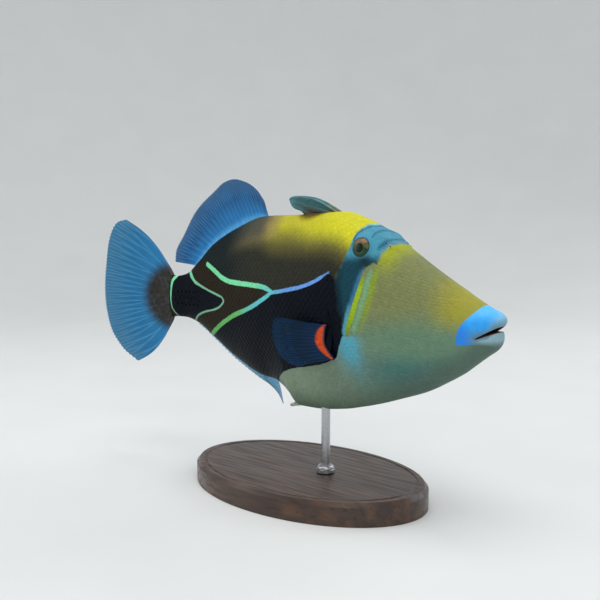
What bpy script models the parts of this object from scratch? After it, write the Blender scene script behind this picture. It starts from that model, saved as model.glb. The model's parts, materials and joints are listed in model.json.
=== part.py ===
"""A reef triggerfish, life size, as a still museum model held over a flat base by one short rod.

The fish swims towards +X with its right side facing -Y, and +Z is up. The origin is the centre of the
base's underside. The fish is shaped in its own straight frame first: t runs from the lips (0) to the root
of the tail fin (1) and beyond, y is sideways (negative on its right) and z is height above the mouth line,
all three as shares of the standard length. The function placed() bends the tail and sets it over the base.
"""

import math

import bmesh
import bpy
import numpy as np
from mathutils import Matrix, Vector

# Driving dimensions, in metres and degrees
STANDARD_LENGTH = 0.190
AXIS_HEIGHT = 0.085
FISH_SHIFT_X = 0.006
JOINT_GAP = 0.0003
TAIL_BEND = math.radians(20.0)
BEND_START = 0.72
BEND_END = 1.06

# Where the body is parted, as shares of the standard length
NECK = 0.355
STALK = 0.880
GAP_SHARE = JOINT_GAP / STANDARD_LENGTH
RING_POINTS = 40

# Body stations: t, back, belly, level of the widest point, half width, fullness of back and of belly.
# A fullness under 1 squares the section off, and one over 1 draws it in towards a keel.
STATIONS = np.array(
    [
        (0.000, 0.012, -0.030, -0.010, 0.018, 0.90, 0.90),
        (0.020, 0.022, -0.048, -0.012, 0.027, 0.90, 0.90),
        (0.040, 0.031, -0.066, -0.014, 0.034, 0.90, 0.95),
        (0.085, 0.057, -0.104, -0.018, 0.049, 0.88, 1.00),
        (0.122, 0.077, -0.127, -0.018, 0.058, 0.85, 1.05),
        (0.183, 0.111, -0.160, -0.012, 0.069, 0.75, 1.10),
        (0.245, 0.1485, -0.183, -0.002, 0.076, 0.64, 1.15),
        (0.300, 0.183, -0.202, 0.006, 0.080, 0.58, 1.20),
        (0.355, 0.211, -0.218, 0.010, 0.084, 0.66, 1.25),
        (0.414, 0.2285, -0.232, 0.010, 0.086, 0.86, 1.30),
        (0.504, 0.2245, -0.243, 0.006, 0.084, 0.98, 1.35),
        (0.553, 0.2225, -0.2435, 0.004, 0.080, 1.02, 1.35),
        (0.570, 0.2220, -0.226, 0.003, 0.078, 1.03, 1.32),
        (0.598, 0.2215, -0.204, 0.002, 0.074, 1.05, 1.28),
        (0.632, 0.2210, -0.1885, 0.001, 0.070, 1.08, 1.22),
        (0.669, 0.2195, -0.185, 0.000, 0.065, 1.10, 1.18),
        (0.767, 0.1905, -0.149, 0.000, 0.050, 1.10, 1.10),
        (0.851, 0.1475, -0.098, 0.002, 0.037, 1.08, 1.05),
        (0.902, 0.1000, -0.066, 0.003, 0.029, 1.02, 1.00),
        (0.945, 0.0660, -0.053, 0.003, 0.022, 0.95, 0.95),
        (0.975, 0.0600, -0.052, 0.003, 0.018, 0.90, 0.90),
        (1.000, 0.0640, -0.058, 0.003, 0.0145, 0.90, 0.90),
    ]
)

# The mouth, as shares of the standard length: a slit that slopes down to its corners
MOUTH_FRONT = (0.012, -0.010)
MOUTH_CORNER = (0.054, -0.031)
MOUTH_HALF_WIDTH = 0.031
MOUTH_HALF_GAPE = 0.0052
UPPER_LIP_SWELL = 0.0215
LOWER_LIP_SWELL = 0.0145
CORNER_LIP_SWELL = 0.0045
LIP_ROOT = (0.040, 0.078)
LIP_STEPS = (0.0, 0.12, 0.26, 0.40, 0.54, 0.68, 0.80, 0.91, 1.0)
THROAT_STEPS = ((0.012, 0.94, 1.00), (0.030, 0.72, 0.90), (0.045, 0.45, 0.70))

# The eye, a shallow lens in its socket, with a raised lid round it
EYE_CENTRE = (0.318, 0.0555, 0.1465)
EYE_RADIUS = 0.0049
EYE_DEPTH = 0.0034
EYE_TILT_UP = math.radians(16.0)
LID_RADIUS = 0.0048
LID_THICKNESS = 0.00085
BROW = (0.306, 0.166, 0.032, 0.016, 0.0040)
BROW_RISE = (0.284, 0.052, 0.026, 0.022, 0.0120)


def between(xs, ys, at):
    """A smooth curve through the points (xs, ys) that never overshoots them, read at the values of at."""
    xs, ys, at = (np.asarray(v, float) for v in (xs, ys, at))
    step = np.diff(xs)
    slope = np.diff(ys) / step
    tangent = np.zeros_like(ys)
    tangent[0], tangent[-1] = slope[0], slope[-1]
    same_way = slope[:-1] * slope[1:] > 0
    first = (2 * step[1:] + step[:-1])[same_way]
    second = (step[1:] + 2 * step[:-1])[same_way]
    mean = (first + second) / (first / slope[:-1][same_way] + second / slope[1:][same_way])
    tangent[1:-1][same_way] = mean
    i = np.clip(np.searchsorted(xs, at) - 1, 0, len(xs) - 2)
    s = (at - xs[i]) / step[i]
    rise = (3 - 2 * s) * s * s
    return (
        ys[i] * (1 - rise)
        + ys[i + 1] * rise
        + step[i] * s * (1 - s) * ((1 - s) * tangent[i] - s * tangent[i + 1])
    )


def station(t, column):
    """One measure of the body at t, from its column in STATIONS."""
    return between(STATIONS[:, 0], STATIONS[:, column], t)


def placed(points):
    """Points of the fish's straight frame, as shares, bent at the tail and set over the base, in metres."""
    t, y, z = np.moveaxis(np.asarray(points, float), -1, 0)
    turn = TAIL_BEND / (BEND_END - BEND_START)
    angle = turn * np.clip(t - BEND_START, 0, BEND_END - BEND_START)
    beyond = np.clip(t - BEND_END, 0, None)
    along = 0.5 - np.minimum(t, BEND_START) - np.sin(angle) / turn - beyond * np.cos(angle)
    aside = -(1 - np.cos(angle)) / turn - beyond * np.sin(angle)
    x = (along - y * np.sin(angle)) * STANDARD_LENGTH + FISH_SHIFT_X
    across = (aside + y * np.cos(angle)) * STANDARD_LENGTH
    return np.stack([x, across, z * STANDARD_LENGTH + AXIS_HEIGHT], -1)


def section(t, turn, swell=0.0):
    """Points of the body's cross-section at t. turn is 0 at the back and pi at the belly."""
    t = np.broadcast_to(np.asarray(t, float), np.shape(turn))
    back, belly, level, half_width, full_back, full_belly = (station(t, k) for k in range(1, 7))
    up, side = np.cos(turn), np.sin(turn)
    reach = np.where(up > 0, back - level, level - belly) + swell
    fullness = np.where(up > 0, full_back, full_belly)
    z = level + reach * up
    y = (half_width + swell) * np.sign(side) * np.abs(side) ** fullness
    brow_t, brow_z, long, high, out = BROW
    brow = out * np.exp(-(((t - brow_t) / long) ** 2) - ((z - brow_z) / high) ** 2)
    rise_t, rise_y, long, wide, rise = BROW_RISE
    bump = rise * np.exp(-(((t - rise_t) / long) ** 2) - ((np.abs(y) - rise_y) / wide) ** 2)
    bump = bump * np.clip((z - 0.140) / 0.030, 0, 1)
    return np.stack([t, y + brow * np.sign(side) * np.abs(side) ** 0.5, z + bump], -1)


def half_width_at(t, z):
    """Half the body's width at height z of the station t."""
    turns = np.linspace(0, math.pi, 181)
    ring = section(np.full(181, t), turns)
    return float(np.interp(-z, -ring[:, 2], ring[:, 1]))


def ring_turns():
    """The turns of a ring's points, from the back round by the right side."""
    return -2 * math.pi * np.arange(RING_POINTS) / RING_POINTS


def mouth_rings():
    """Rings from the throat, out over the lips, to where the snout's plain sections begin."""
    turn = ring_turns()
    up, side = np.cos(turn), np.sin(turn)
    corner = np.abs(side) ** 3
    rim = np.stack(
        [
            MOUTH_FRONT[0] + (MOUTH_CORNER[0] - MOUTH_FRONT[0]) * corner,
            MOUTH_HALF_WIDTH * side,
            MOUTH_FRONT[1] + (MOUTH_CORNER[1] - MOUTH_FRONT[1]) * corner + MOUTH_HALF_GAPE * up,
        ],
        -1,
    )
    root = section(LIP_ROOT[0] + (LIP_ROOT[1] - LIP_ROOT[0]) * corner, turn)
    swell = np.where(up > 0, UPPER_LIP_SWELL, LOWER_LIP_SWELL)
    swell = swell + (CORNER_LIP_SWELL - swell) * corner
    rings = []
    for deeper, narrower, closer in reversed(THROAT_STEPS):
        ring = rim.copy()
        ring[:, 0] += deeper * (1 - 0.5 * corner)
        ring[:, 1] *= narrower
        middle = ring[:, 2] - MOUTH_HALF_GAPE * up
        ring[:, 2] = middle + MOUTH_HALF_GAPE * up * closer
        rings.append(ring)
    for share in reversed(LIP_STEPS):
        ring = root * (1 - share) + rim * share
        bulge = np.sin(math.pi * share**0.8) ** 0.8
        ring[:, 0] -= swell * bulge * (1 - 0.6 * corner)
        ring[:, 1] += 0.5 * swell * bulge * corner * np.sign(side)
        rings.append(ring)
    return rings


def body_rings(start, end, inner):
    """Plain rings from start to end, with those of inner that lie between them."""
    between_ends = [t for t in inner if start + 0.004 < t < end - 0.004]
    return [section(np.full(RING_POINTS, t), ring_turns()) for t in [start, *between_ends, end]]


def swollen_rings(inner, swell):
    """The whole body's plain rings a little larger all round, used to cut what stands on it."""
    return [section(np.full(RING_POINTS, t), ring_turns(), swell) for t in inner]


RING_PLACES = np.concatenate(
    [
        np.linspace(0.085, 0.355, 15),
        np.linspace(0.378, 0.540, 8),
        [0.5525, 0.5615, 0.572, 0.586],
        np.linspace(0.600, 0.860, 12),
        np.linspace(0.880, 1.000, 8),
    ]
)


def object_of(name, points, faces, collection):
    """A mesh object of that name from points in metres and faces."""
    mesh = bpy.data.meshes.new(name)
    mesh.from_pydata(np.asarray(points, float).tolist(), [], faces)
    mesh.update()
    obj = bpy.data.objects.new(name, mesh)
    collection.objects.link(obj)
    return obj


def loft(name, rings, collection):
    """A closed object through rings of equal count, each end filled by a fan round its middle."""
    count = len(rings[0])
    points = [placed(ring) for ring in rings]
    faces = []
    for i in range(len(rings) - 1):
        for j in range(count):
            k = (j + 1) % count
            faces.append((i * count + j, i * count + k, (i + 1) * count + k, (i + 1) * count + j))
    first = len(rings) * count
    ends = [points[0].mean(0), points[-1].mean(0)]
    last_row = (len(rings) - 1) * count
    for j in range(count):
        k = (j + 1) % count
        faces.append((first, k, j))
        faces.append((first + 1, last_row + j, last_row + k))
    obj = object_of(name, np.concatenate([*points, ends]), faces, collection)
    face_outwards(obj)
    return obj


def face_outwards(obj):
    """Turns a closed mesh's faces outwards."""
    cage = bmesh.new()
    cage.from_mesh(obj.data)
    bmesh.ops.recalc_face_normals(cage, faces=cage.faces)
    if cage.calc_volume(signed=True) < 0:
        bmesh.ops.reverse_faces(cage, faces=cage.faces)
    cage.to_mesh(obj.data)
    cage.free()


def combine(obj, others, operation, solver="EXACT"):
    """Joins or cuts obj by a collection of closed objects, applies it and removes them."""
    tools = bpy.data.collections.new("tools")
    bpy.context.scene.collection.children.link(tools)
    for other in others:
        for home in list(other.users_collection):
            home.objects.unlink(other)
        tools.objects.link(other)
    modifier = obj.modifiers.new(operation.lower(), "BOOLEAN")
    modifier.operation = operation
    modifier.operand_type = "COLLECTION"
    modifier.collection = tools
    modifier.solver = solver
    bpy.context.view_layer.update()
    graph = bpy.context.evaluated_depsgraph_get()
    made = bpy.data.meshes.new_from_object(obj.evaluated_get(graph))
    obj.modifiers.clear()
    obj.data = made
    for other in others:
        bpy.data.objects.remove(other)
    bpy.data.collections.remove(tools)
    keep_largest(obj)


def keep_largest(obj):
    """Keeps the mesh's largest closed surface, which fills a sealed hollow and drops a loose scrap."""
    cage = bmesh.new()
    cage.from_mesh(obj.data)
    bmesh.ops.remove_doubles(cage, verts=cage.verts, dist=1e-6)
    groups = []
    unseen = set(cage.faces)
    while unseen:
        group = [unseen.pop()]
        for face in group:
            for edge in face.edges:
                for near in edge.link_faces:
                    if near in unseen:
                        unseen.remove(near)
                        group.append(near)
        groups.append(group)
    largest = max(groups, key=lambda g: sum(f.calc_area() for f in g))
    scraps = [f for g in groups if g is not largest for f in g]
    bmesh.ops.delete(cage, geom=scraps, context="FACES")
    cage.to_mesh(obj.data)
    cage.free()


def finish(obj, colour, roughness, metallic=0.0):
    """Gives a node its plain material and smooth shading."""
    material = bpy.data.materials.new(obj.name)
    material.use_nodes = True
    shader = material.node_tree.nodes["Principled BSDF"]
    shader.inputs["Base Color"].default_value = (*colour, 1.0)
    shader.inputs["Roughness"].default_value = roughness
    shader.inputs["Metallic"].default_value = metallic
    obj.data.materials.clear()
    obj.data.materials.append(material)
    obj.data.shade_smooth()
    obj.data.set_sharp_from_angle(angle=math.radians(40))
    return obj


def ellipsoid(name, centre, radii, turned, collection, rings=12, segments=20):
    """A ball stretched to radii in its own axes, turned by a matrix and moved to centre, in metres."""
    cage = bmesh.new()
    bmesh.ops.create_uvsphere(cage, u_segments=segments, v_segments=rings, radius=1.0)
    place = Matrix.Translation(Vector(centre)) @ turned.to_4x4() @ Matrix.Diagonal((*radii, 1.0))
    bmesh.ops.transform(cage, matrix=place, verts=cage.verts)
    mesh = bpy.data.meshes.new(name)
    cage.to_mesh(mesh)
    cage.free()
    obj = bpy.data.objects.new(name, mesh)
    collection.objects.link(obj)
    return obj


def cylinder(name, foot, head, radius, segments, collection, end_radius=None):
    """A closed round bar from foot to head, which may taper to end_radius."""
    foot, head = Vector(foot), Vector(head)
    way = head - foot
    cage = bmesh.new()
    bmesh.ops.create_cone(
        cage,
        cap_ends=True,
        segments=segments,
        radius1=radius,
        radius2=radius if end_radius is None else end_radius,
        depth=way.length,
    )
    place = Matrix.Translation((foot + head) / 2) @ way.to_track_quat("Z", "Y").to_matrix().to_4x4()
    bmesh.ops.transform(cage, matrix=place, verts=cage.verts)
    mesh = bpy.data.meshes.new(name)
    cage.to_mesh(mesh)
    cage.free()
    obj = bpy.data.objects.new(name, mesh)
    collection.objects.link(obj)
    return obj


def fin_web(name, middle, half_thickness, collection):
    """A closed web round a grid of middle points (columns by rows), in metres.

    Each point is moved half the thickness along the grid's normal to both faces, which are split into
    triangles alike, and the four edges are closed by a strip between the faces.
    """
    columns, rows = middle.shape[:2]
    across = np.gradient(middle, axis=0)
    along = np.gradient(middle, axis=1)
    normal = np.cross(across, along)
    normal /= np.linalg.norm(normal, axis=-1, keepdims=True)
    offset = normal * half_thickness[..., None]
    points = np.concatenate([(middle + offset).reshape(-1, 3), (middle - offset).reshape(-1, 3)])
    far = columns * rows
    faces = []
    for i in range(columns - 1):
        for j in range(rows - 1):
            a, b = i * rows + j, (i + 1) * rows + j
            faces += [(a, b, b + 1), (a, b + 1, a + 1)]
            faces += [(far + a, far + b + 1, far + b), (far + a, far + a + 1, far + b + 1)]
    edge = [i * rows for i in range(columns)]
    edge += [(columns - 1) * rows + j for j in range(1, rows)]
    edge += [i * rows + rows - 1 for i in range(columns - 2, -1, -1)]
    edge += [j for j in range(rows - 2, 0, -1)]
    for a, b in zip(edge, edge[1:] + edge[:1]):
        faces += [(a, far + a, b), (b, far + a, far + b)]
    obj = object_of(name, points, faces, collection)
    face_outwards(obj)
    return obj


def ray_columns(rays):
    """Column places from 0 to 1, with one on each ray and one between each two."""
    return np.linspace(0, 1, 2 * rays - 1)


def ray_ridge(columns, rows, crest, valley, taper):
    """Half thickness of a web whose even columns are ray crests, thinning towards the rim by taper."""
    on_ray = np.where(np.arange(columns) % 2 == 0, crest, valley)[:, None]
    out = np.linspace(0, 1, rows)[None, :]
    return np.maximum(on_ray * (1 - taper * out), 0.00025)


def leaning(root, tip, lean_low, lean_high, rows, sunk):
    """Middle points of a fin whose rays run from root to tip and lean sideways by an angle.

    root and tip are t and z of each column. A ray keeps its length. It stands up from the body, leans by
    lean_low a fifth of the way out and by lean_high at its tip. The rays start sunk below their root.
    """
    out = np.linspace(0, 1, rows)
    ray = tip - root
    length = np.linalg.norm(ray, axis=-1)
    unit = ray / length[:, None]
    angle = lean_low[:, None] + (lean_high - lean_low)[:, None] * out[None, :]
    angle = angle * np.clip(out / 0.2, 0, 1)[None, :]
    step = np.diff(out, prepend=0)[None, :] * length[:, None]
    upright = np.cumsum(step * np.cos(angle), axis=1) - sunk * (1 - out)[None, :] ** 6
    aside = np.cumsum(step * np.sin(angle), axis=1)
    t = root[:, 0, None] + unit[:, 0, None] * upright
    z = root[:, 1, None] + unit[:, 1, None] * upright
    return np.stack([t, aside, z], -1)


# Second dorsal fin: share along the base, then t and z of the ray tips
DORSAL_RAYS = 24
DORSAL_BASE = (0.661, 0.914)
DORSAL_RIM = np.array(
    [
        (0.00, 0.664, 0.258),
        (0.05, 0.684, 0.286),
        (0.12, 0.718, 0.306),
        (0.22, 0.756, 0.314),
        (0.36, 0.800, 0.306),
        (0.50, 0.846, 0.279),
        (0.70, 0.906, 0.226),
        (0.85, 0.946, 0.168),
        (0.95, 0.970, 0.124),
        (1.00, 0.973, 0.098),
    ]
)
DORSAL_LEAN_LOW = (-14.0, -10.0, -12.0)
DORSAL_LEAN_HIGH = (-20.0, -6.0, -14.0)

# Anal fin, swung out to the fish's left at the end of a stroke
ANAL_RAYS = 21
ANAL_BASE = (0.674, 0.902)
ANAL_RIM = np.array(
    [
        (0.00, 0.717, -0.322),
        (0.08, 0.752, -0.316),
        (0.20, 0.799, -0.299),
        (0.36, 0.838, -0.268),
        (0.55, 0.885, -0.222),
        (0.75, 0.925, -0.168),
        (0.90, 0.946, -0.128),
        (1.00, 0.950, -0.098),
    ]
)
ANAL_LEAN_LOW = (70.0, 84.0, 84.0, 80.0, 70.0)
ANAL_LEAN_HIGH = (34.0, 68.0, 80.0, 78.0, 70.0)

# Tail fin: the upper edge, the rear rim and the lower edge as ray tips, with the roots on the stalk's end
CAUDAL_RAYS = 12
CAUDAL_ROOT_T = 1.003
CAUDAL_ROOT = (0.059, -0.053)
CAUDAL_RIM = np.array(
    [
        (0.00, 1.158, 0.216),
        (0.10, 1.186, 0.180),
        (0.24, 1.205, 0.120),
        (0.40, 1.214, 0.050),
        (0.56, 1.214, -0.020),
        (0.74, 1.200, -0.090),
        (0.90, 1.166, -0.152),
        (1.00, 1.118, -0.187),
    ]
)
CAUDAL_ARCH = 0.030


def wave_of(values, share):
    """Angles in degrees, spread evenly along a fin's base, read smoothly at each share, in radians."""
    return np.radians(between(np.linspace(0, 1, len(values)), values, share))


def median_fin(name, rays, base, rim, leans, profile_column, body_side, collection):
    """A soft fin on the back or belly, each ray a ridge, its root sunk in the body's edge."""
    share = ray_columns(rays)
    root_t = base[0] + (base[1] - base[0]) * share
    root = np.stack([root_t, station(root_t, profile_column)], -1)
    tip = np.stack([between(rim[:, 0], rim[:, k], share) for k in (1, 2)], -1)
    rows = 8
    low, high = (wave_of(lean, share) for lean in leans)
    middle = leaning(root, tip, low, high, rows, FIN_SUNK)
    ridge = ray_ridge(len(share), rows, 0.00052, 0.00028, 0.45)
    ridge[:, 0] = FIN_ROOT_HALF
    ridge[:, 1] = np.maximum(ridge[:, 1], 0.5 * FIN_ROOT_HALF)
    middle = placed(middle)
    middle[:, 1:] += scallop(len(share), rows - 1, body_side)
    return fin_web(name, middle, ridge, collection)


FIN_SUNK = 0.010
FIN_ROOT_HALF = 0.0011


def scallop(columns, rows, way):
    """A small notch of the rim between each two rays, deepest at the rim, as an offset in z."""
    between_rays = (np.arange(columns) % 2)[:, None]
    out = np.linspace(0, 1, rows)[None, :] ** 4
    drop = -way * 0.0006 * between_rays * out
    return np.stack([np.zeros_like(drop), np.zeros_like(drop), drop], -1)


def caudal_fin(collection):
    """The tail fin: twelve rays that fan out and fork past their middle, arched sideways a little."""
    per_ray = 4
    columns = CAUDAL_RAYS * per_ray + 1
    share = np.linspace(0, 1, columns)
    rows = 9
    out = np.linspace(0, 1, rows)[None, :]
    root = np.stack(
        [
            np.full(columns, CAUDAL_ROOT_T - 0.012),
            CAUDAL_ROOT[0] + (CAUDAL_ROOT[1] - CAUDAL_ROOT[0]) * share,
        ],
        -1,
    )
    tip = np.stack([between(CAUDAL_RIM[:, 0], CAUDAL_RIM[:, k], share) for k in (1, 2)], -1)
    spread = 2 * share - 1
    t = root[:, 0, None] + (tip - root)[:, 0, None] * out
    z = root[:, 1, None] + (tip - root)[:, 1, None] * out
    outward = CAUDAL_ARCH * np.sign(-spread)[:, None] * np.abs(spread)[:, None] ** 3
    z = z + outward * np.sin(math.pi * out**0.8)
    y = 0.010 * np.sin(math.pi * out) * (1 - spread[:, None] ** 2) + 0.016 * spread[:, None] ** 2 * out**2
    middle = placed(np.stack([t, y, z], -1))
    place = np.arange(columns) % per_ray
    crest = np.where((place == 1) | (place == 3), 0.00055, 0.00028)[:, None]
    stem = np.where(place == 2, 0.00055, 0.0)[:, None] * np.clip(1.6 - 3.2 * out, 0, 1)
    ridge = np.maximum(np.maximum(crest, stem) * (1 - 0.4 * out), 0.00025)
    ridge[:, :2] = np.maximum(ridge[:, :2], 0.0011)
    ridge[:, 2] = np.maximum(ridge[:, 2], 0.0007)
    return fin_web("caudal_fin", middle, ridge, collection)


# First dorsal fin, folded back: the stout first spine is its upper edge
SPINE_ROOT = (0.417, 0.222)
SPINE_TIP = (0.580, 0.262)
SPINE_RISE = 0.0160
LEAF_DEPTH = np.array(
    [(0.0, 0.010), (0.15, 0.022), (0.4, 0.030), (0.7, 0.031), (0.88, 0.026), (0.96, 0.019), (1.0, 0.011)]
)
FOLD_COLUMNS = 9
FOLD_ROWS = 11


def folded_dorsal(collection):
    """The first dorsal fin laid back over its groove: a leaf whose upper edge is the locking spine."""
    out = np.linspace(0, 1, FOLD_ROWS)[None, :]
    down = np.linspace(0, 1, FOLD_COLUMNS)[:, None]
    top_t = SPINE_ROOT[0] + (SPINE_TIP[0] - SPINE_ROOT[0]) * out
    top_z = SPINE_ROOT[1] + (SPINE_TIP[1] - SPINE_ROOT[1]) * out + SPINE_RISE * np.sin(math.pi * out)
    depth = between(LEAF_DEPTH[:, 0], LEAF_DEPTH[:, 1], out)
    t = top_t - 0.012 * down**2 * out**3
    z = top_z - depth * down
    y = 0.004 * np.sin(2.2 * math.pi * down) * np.sin(math.pi * out)
    middle = placed(np.stack([np.broadcast_to(t, z.shape), y, z], -1))
    spine = 0.0017 * np.exp(-((down / 0.13) ** 2)) * (1 - 0.62 * out)
    second = 0.0009 * np.exp(-(((down - 0.5) / 0.10) ** 2)) * (1 - out) ** 0.5
    third = 0.0007 * np.exp(-(((down - 0.86) / 0.10) ** 2)) * (1 - out)
    half = np.maximum(spine, 0) + second + third + 0.00034
    return fin_web("first_dorsal_fin", middle, half, collection)


# Pectoral fins: the root on the body (t, z), top to bottom, and the rim of the fan
PECTORAL_RAYS = 13
PECTORAL_ROOT = np.array([(0.0, 0.405, -0.030), (0.5, 0.409, -0.064), (1.0, 0.394, -0.098)])
PECTORAL_RIM = np.array(
    [
        (0.00, 0.513, -0.013),
        (0.14, 0.530, -0.024),
        (0.32, 0.538, -0.048),
        (0.52, 0.535, -0.074),
        (0.72, 0.521, -0.098),
        (0.88, 0.497, -0.116),
        (1.00, 0.462, -0.123),
    ]
)
PECTORAL_FLARE = 0.030
PECTORAL_PAD = (0.0020, 0.0030, 0.0075)


def pectoral_fin(name, side, collection):
    """A fan of rays from a fleshy pad on the flank. side is -1 for the fish's right."""
    share = ray_columns(PECTORAL_RAYS)
    rows = 8
    out = np.linspace(0, 1, rows)[None, :]
    root = np.stack([between(PECTORAL_ROOT[:, 0], PECTORAL_ROOT[:, k], share) for k in (1, 2)], -1)
    tip = np.stack([between(PECTORAL_RIM[:, 0], PECTORAL_RIM[:, k], share) for k in (1, 2)], -1)
    t = root[:, 0, None] + (tip - root)[:, 0, None] * out
    z = root[:, 1, None] + (tip - root)[:, 1, None] * out
    wall = np.array([half_width_at(a, b) for a, b in root])[:, None]
    cup = 0.006 * np.sin(math.pi * share)[:, None] * out
    y = side * (wall + 0.006 + PECTORAL_FLARE * out**0.9 - cup)
    middle = placed(np.stack([t, y, z], -1))
    ridge = ray_ridge(len(share), rows, 0.00050, 0.00027, 0.40)
    ridge[:, 0] = 0.0010
    ridge[:, 1] = np.maximum(ridge[:, 1], 0.0006)
    fin = fin_web(name, middle, ridge, collection)
    pad_t, pad_z = PECTORAL_ROOT[1, 1], PECTORAL_ROOT[1, 2]
    centre = placed([pad_t, side * (half_width_at(pad_t, pad_z) + 0.001), pad_z])
    lie = Matrix.Rotation(math.radians(-6), 3, "Y")
    pad = ellipsoid(name + "_pad", centre, PECTORAL_PAD, lie, collection, 8, 12)
    combine(fin, [pad], "UNION")
    return fin


def eye_turn(side):
    """The turn that points the local +Z of an eye out of the head, up a little."""
    outward = Vector((0.10, side * math.cos(EYE_TILT_UP), math.sin(EYE_TILT_UP)))
    return outward.to_track_quat("Z", "Y").to_matrix()


def eye_place(side):
    t, y, z = EYE_CENTRE
    return placed([t, side * y, z])


def eyeball(name, side, grow, collection):
    radii = (EYE_RADIUS + grow, EYE_RADIUS + grow, EYE_DEPTH + grow)
    return ellipsoid(name, eye_place(side), radii, eye_turn(side), collection)


def lid(side, collection):
    """The raised ring of skin round an eye."""
    bpy.ops.mesh.primitive_torus_add(
        major_radius=LID_RADIUS, minor_radius=LID_THICKNESS, major_segments=24, minor_segments=8
    )
    ring = bpy.context.object
    turn = eye_turn(side)
    out = turn @ Vector((0, 0, EYE_DEPTH * 0.34))
    ring.data.transform(Matrix.Translation(Vector(eye_place(side)) + out) @ turn.to_4x4())
    ring.matrix_world = Matrix.Identity(4)
    for home in list(ring.users_collection):
        home.objects.unlink(ring)
    collection.objects.link(ring)
    return ring


# Nostrils, two small pits in front of each eye, and the short gill slit before each pectoral fin
NOSTRILS = ((0.268, 0.157), (0.259, 0.150))
NOSTRIL_RADIUS = 0.00045
NOSTRIL_DEPTH = 0.0012
GILL_SLIT = ((0.392, 0.012), (0.384, -0.024))
GILL_SLIT_DEPTH = 0.0016


def nostril(side, t, z, collection):
    wall = half_width_at(t, z)
    outside = placed([t, side * (wall + 0.004), z])
    inside = outside + np.array([0, -side * (NOSTRIL_DEPTH + 0.004 * STANDARD_LENGTH), 0])
    return cylinder("nostril", inside, outside, NOSTRIL_RADIUS, 10, collection)


def gill_slit(side, collection):
    """A thin wedge of a cutter along the slit."""
    (top_t, top_z), (low_t, low_z) = GILL_SLIT
    t, z = (top_t + low_t) / 2, (top_z + low_z) / 2
    centre = placed([t, side * half_width_at(t, z), z])
    length = math.hypot(top_t - low_t, top_z - low_z) * STANDARD_LENGTH
    lie = Matrix.Rotation(math.atan2(top_t - low_t, top_z - low_z), 3, "Y")
    radii = (0.0005, GILL_SLIT_DEPTH, length / 2)
    return ellipsoid("slit", centre, radii, lie, collection, 10, 12)


# Rows of small spines, hooked forwards, on each side of the tail stalk
SPINE_ROWS = ((0.020, 0.893, 0.968, 6), (0.002, 0.888, 0.974, 7), (-0.016, 0.893, 0.968, 6))
SPINE_HEIGHT = 0.0011
SPINE_FOOT = 0.00060


def stalk_spines(collection):
    spines = []
    for z, first, last, count in SPINE_ROWS:
        for t in np.linspace(first, last, count):
            for side in (-1, 1):
                wall = half_width_at(t, z)
                foot = placed([t, side * (wall - 0.003), z])
                head = placed([t - 0.004, side * (wall + SPINE_HEIGHT / STANDARD_LENGTH), z + 0.001])
                spines.append(cylinder("spine", foot, head, SPINE_FOOT, 5, collection, 0.00012))
    return spines


# The pelvic spine, a blunt rough stub at the rear end of the pelvis
PELVIC_ROOT = (0.548, -0.236)
PELVIC_TIP = (0.582, -0.246)
PELVIC_RADIUS = 0.0014


def pelvic_spine(collection):
    root = placed([PELVIC_ROOT[0], 0.0, PELVIC_ROOT[1]])
    tip = placed([PELVIC_TIP[0], 0.0, PELVIC_TIP[1]])
    stub = cylinder("pelvic_spine", root, tip, PELVIC_RADIUS, 10, collection, 0.0006)
    way = tip - root
    barbs = []
    for k, share in enumerate((0.55, 0.72, 0.88)):
        for side in (-1, 1):
            foot = root + way * share
            head = foot + way * 0.10 + np.array([0, side * 0.0016, -0.0004 * k])
            barbs.append(cylinder("barb", foot, head, 0.00045, 5, collection, 0.00012))
    combine(stub, barbs, "UNION")
    return stub


# The display stand: a flat oval base and one short rod, let into the belly
BASE_HALF = (0.062, 0.040)
BASE_THICKNESS = 0.010
BASE_EDGE = 0.0018
ROD_RADIUS = 0.0020
ROD_T = 0.470
ROD_SOCKET = 0.0080
FERRULE_RADIUS = 0.0042
FERRULE_HEIGHT = 0.0035


def rod_x():
    return float(placed([ROD_T, 0, 0])[0])


def rod_top():
    return AXIS_HEIGHT + float(station(ROD_T, 2)) * STANDARD_LENGTH + ROD_SOCKET


def stand_base(collection):
    """A turned oval plate: a flat disc stretched to its half sizes, with a rounded rim."""
    bpy.ops.mesh.primitive_cylinder_add(vertices=60, radius=1.0, depth=BASE_THICKNESS)
    base = bpy.context.object
    base.name = "stand_base"
    stretch = Matrix.Diagonal((*BASE_HALF, 1.0, 1.0))
    base.data.transform(Matrix.Translation((0, 0, BASE_THICKNESS / 2)) @ stretch)
    rim = base.modifiers.new("rim", "BEVEL")
    rim.width = BASE_EDGE
    rim.segments = 2
    rim.limit_method = "ANGLE"
    for home in list(base.users_collection):
        home.objects.unlink(base)
    collection.objects.link(base)
    return base


def stand_rod(collection):
    """The rod and the small ferrule at its foot, one turned piece on the base."""
    x = rod_x()
    foot = BASE_THICKNESS + JOINT_GAP
    profile = [
        (0.0, rod_top()),
        (ROD_RADIUS * 0.7, rod_top()),
        (ROD_RADIUS, rod_top() - ROD_RADIUS * 0.3),
        (ROD_RADIUS, foot + FERRULE_HEIGHT),
        (FERRULE_RADIUS * 0.75, foot + FERRULE_HEIGHT),
        (FERRULE_RADIUS, foot + FERRULE_HEIGHT * 0.7),
        (FERRULE_RADIUS, foot),
        (0.0, foot),
    ]
    mesh = bpy.data.meshes.new("stand_rod")
    mesh.from_pydata([(r, 0, z) for r, z in profile], [(i, i + 1) for i in range(len(profile) - 1)], [])
    rod = bpy.data.objects.new("stand_rod", mesh)
    collection.objects.link(rod)
    turned = rod.modifiers.new("turned", "SCREW")
    turned.steps = turned.render_steps = 28
    turned.use_merge_vertices = True
    turned.merge_threshold = 0.00001
    rod.location = (x, 0, 0)
    return rod


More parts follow.
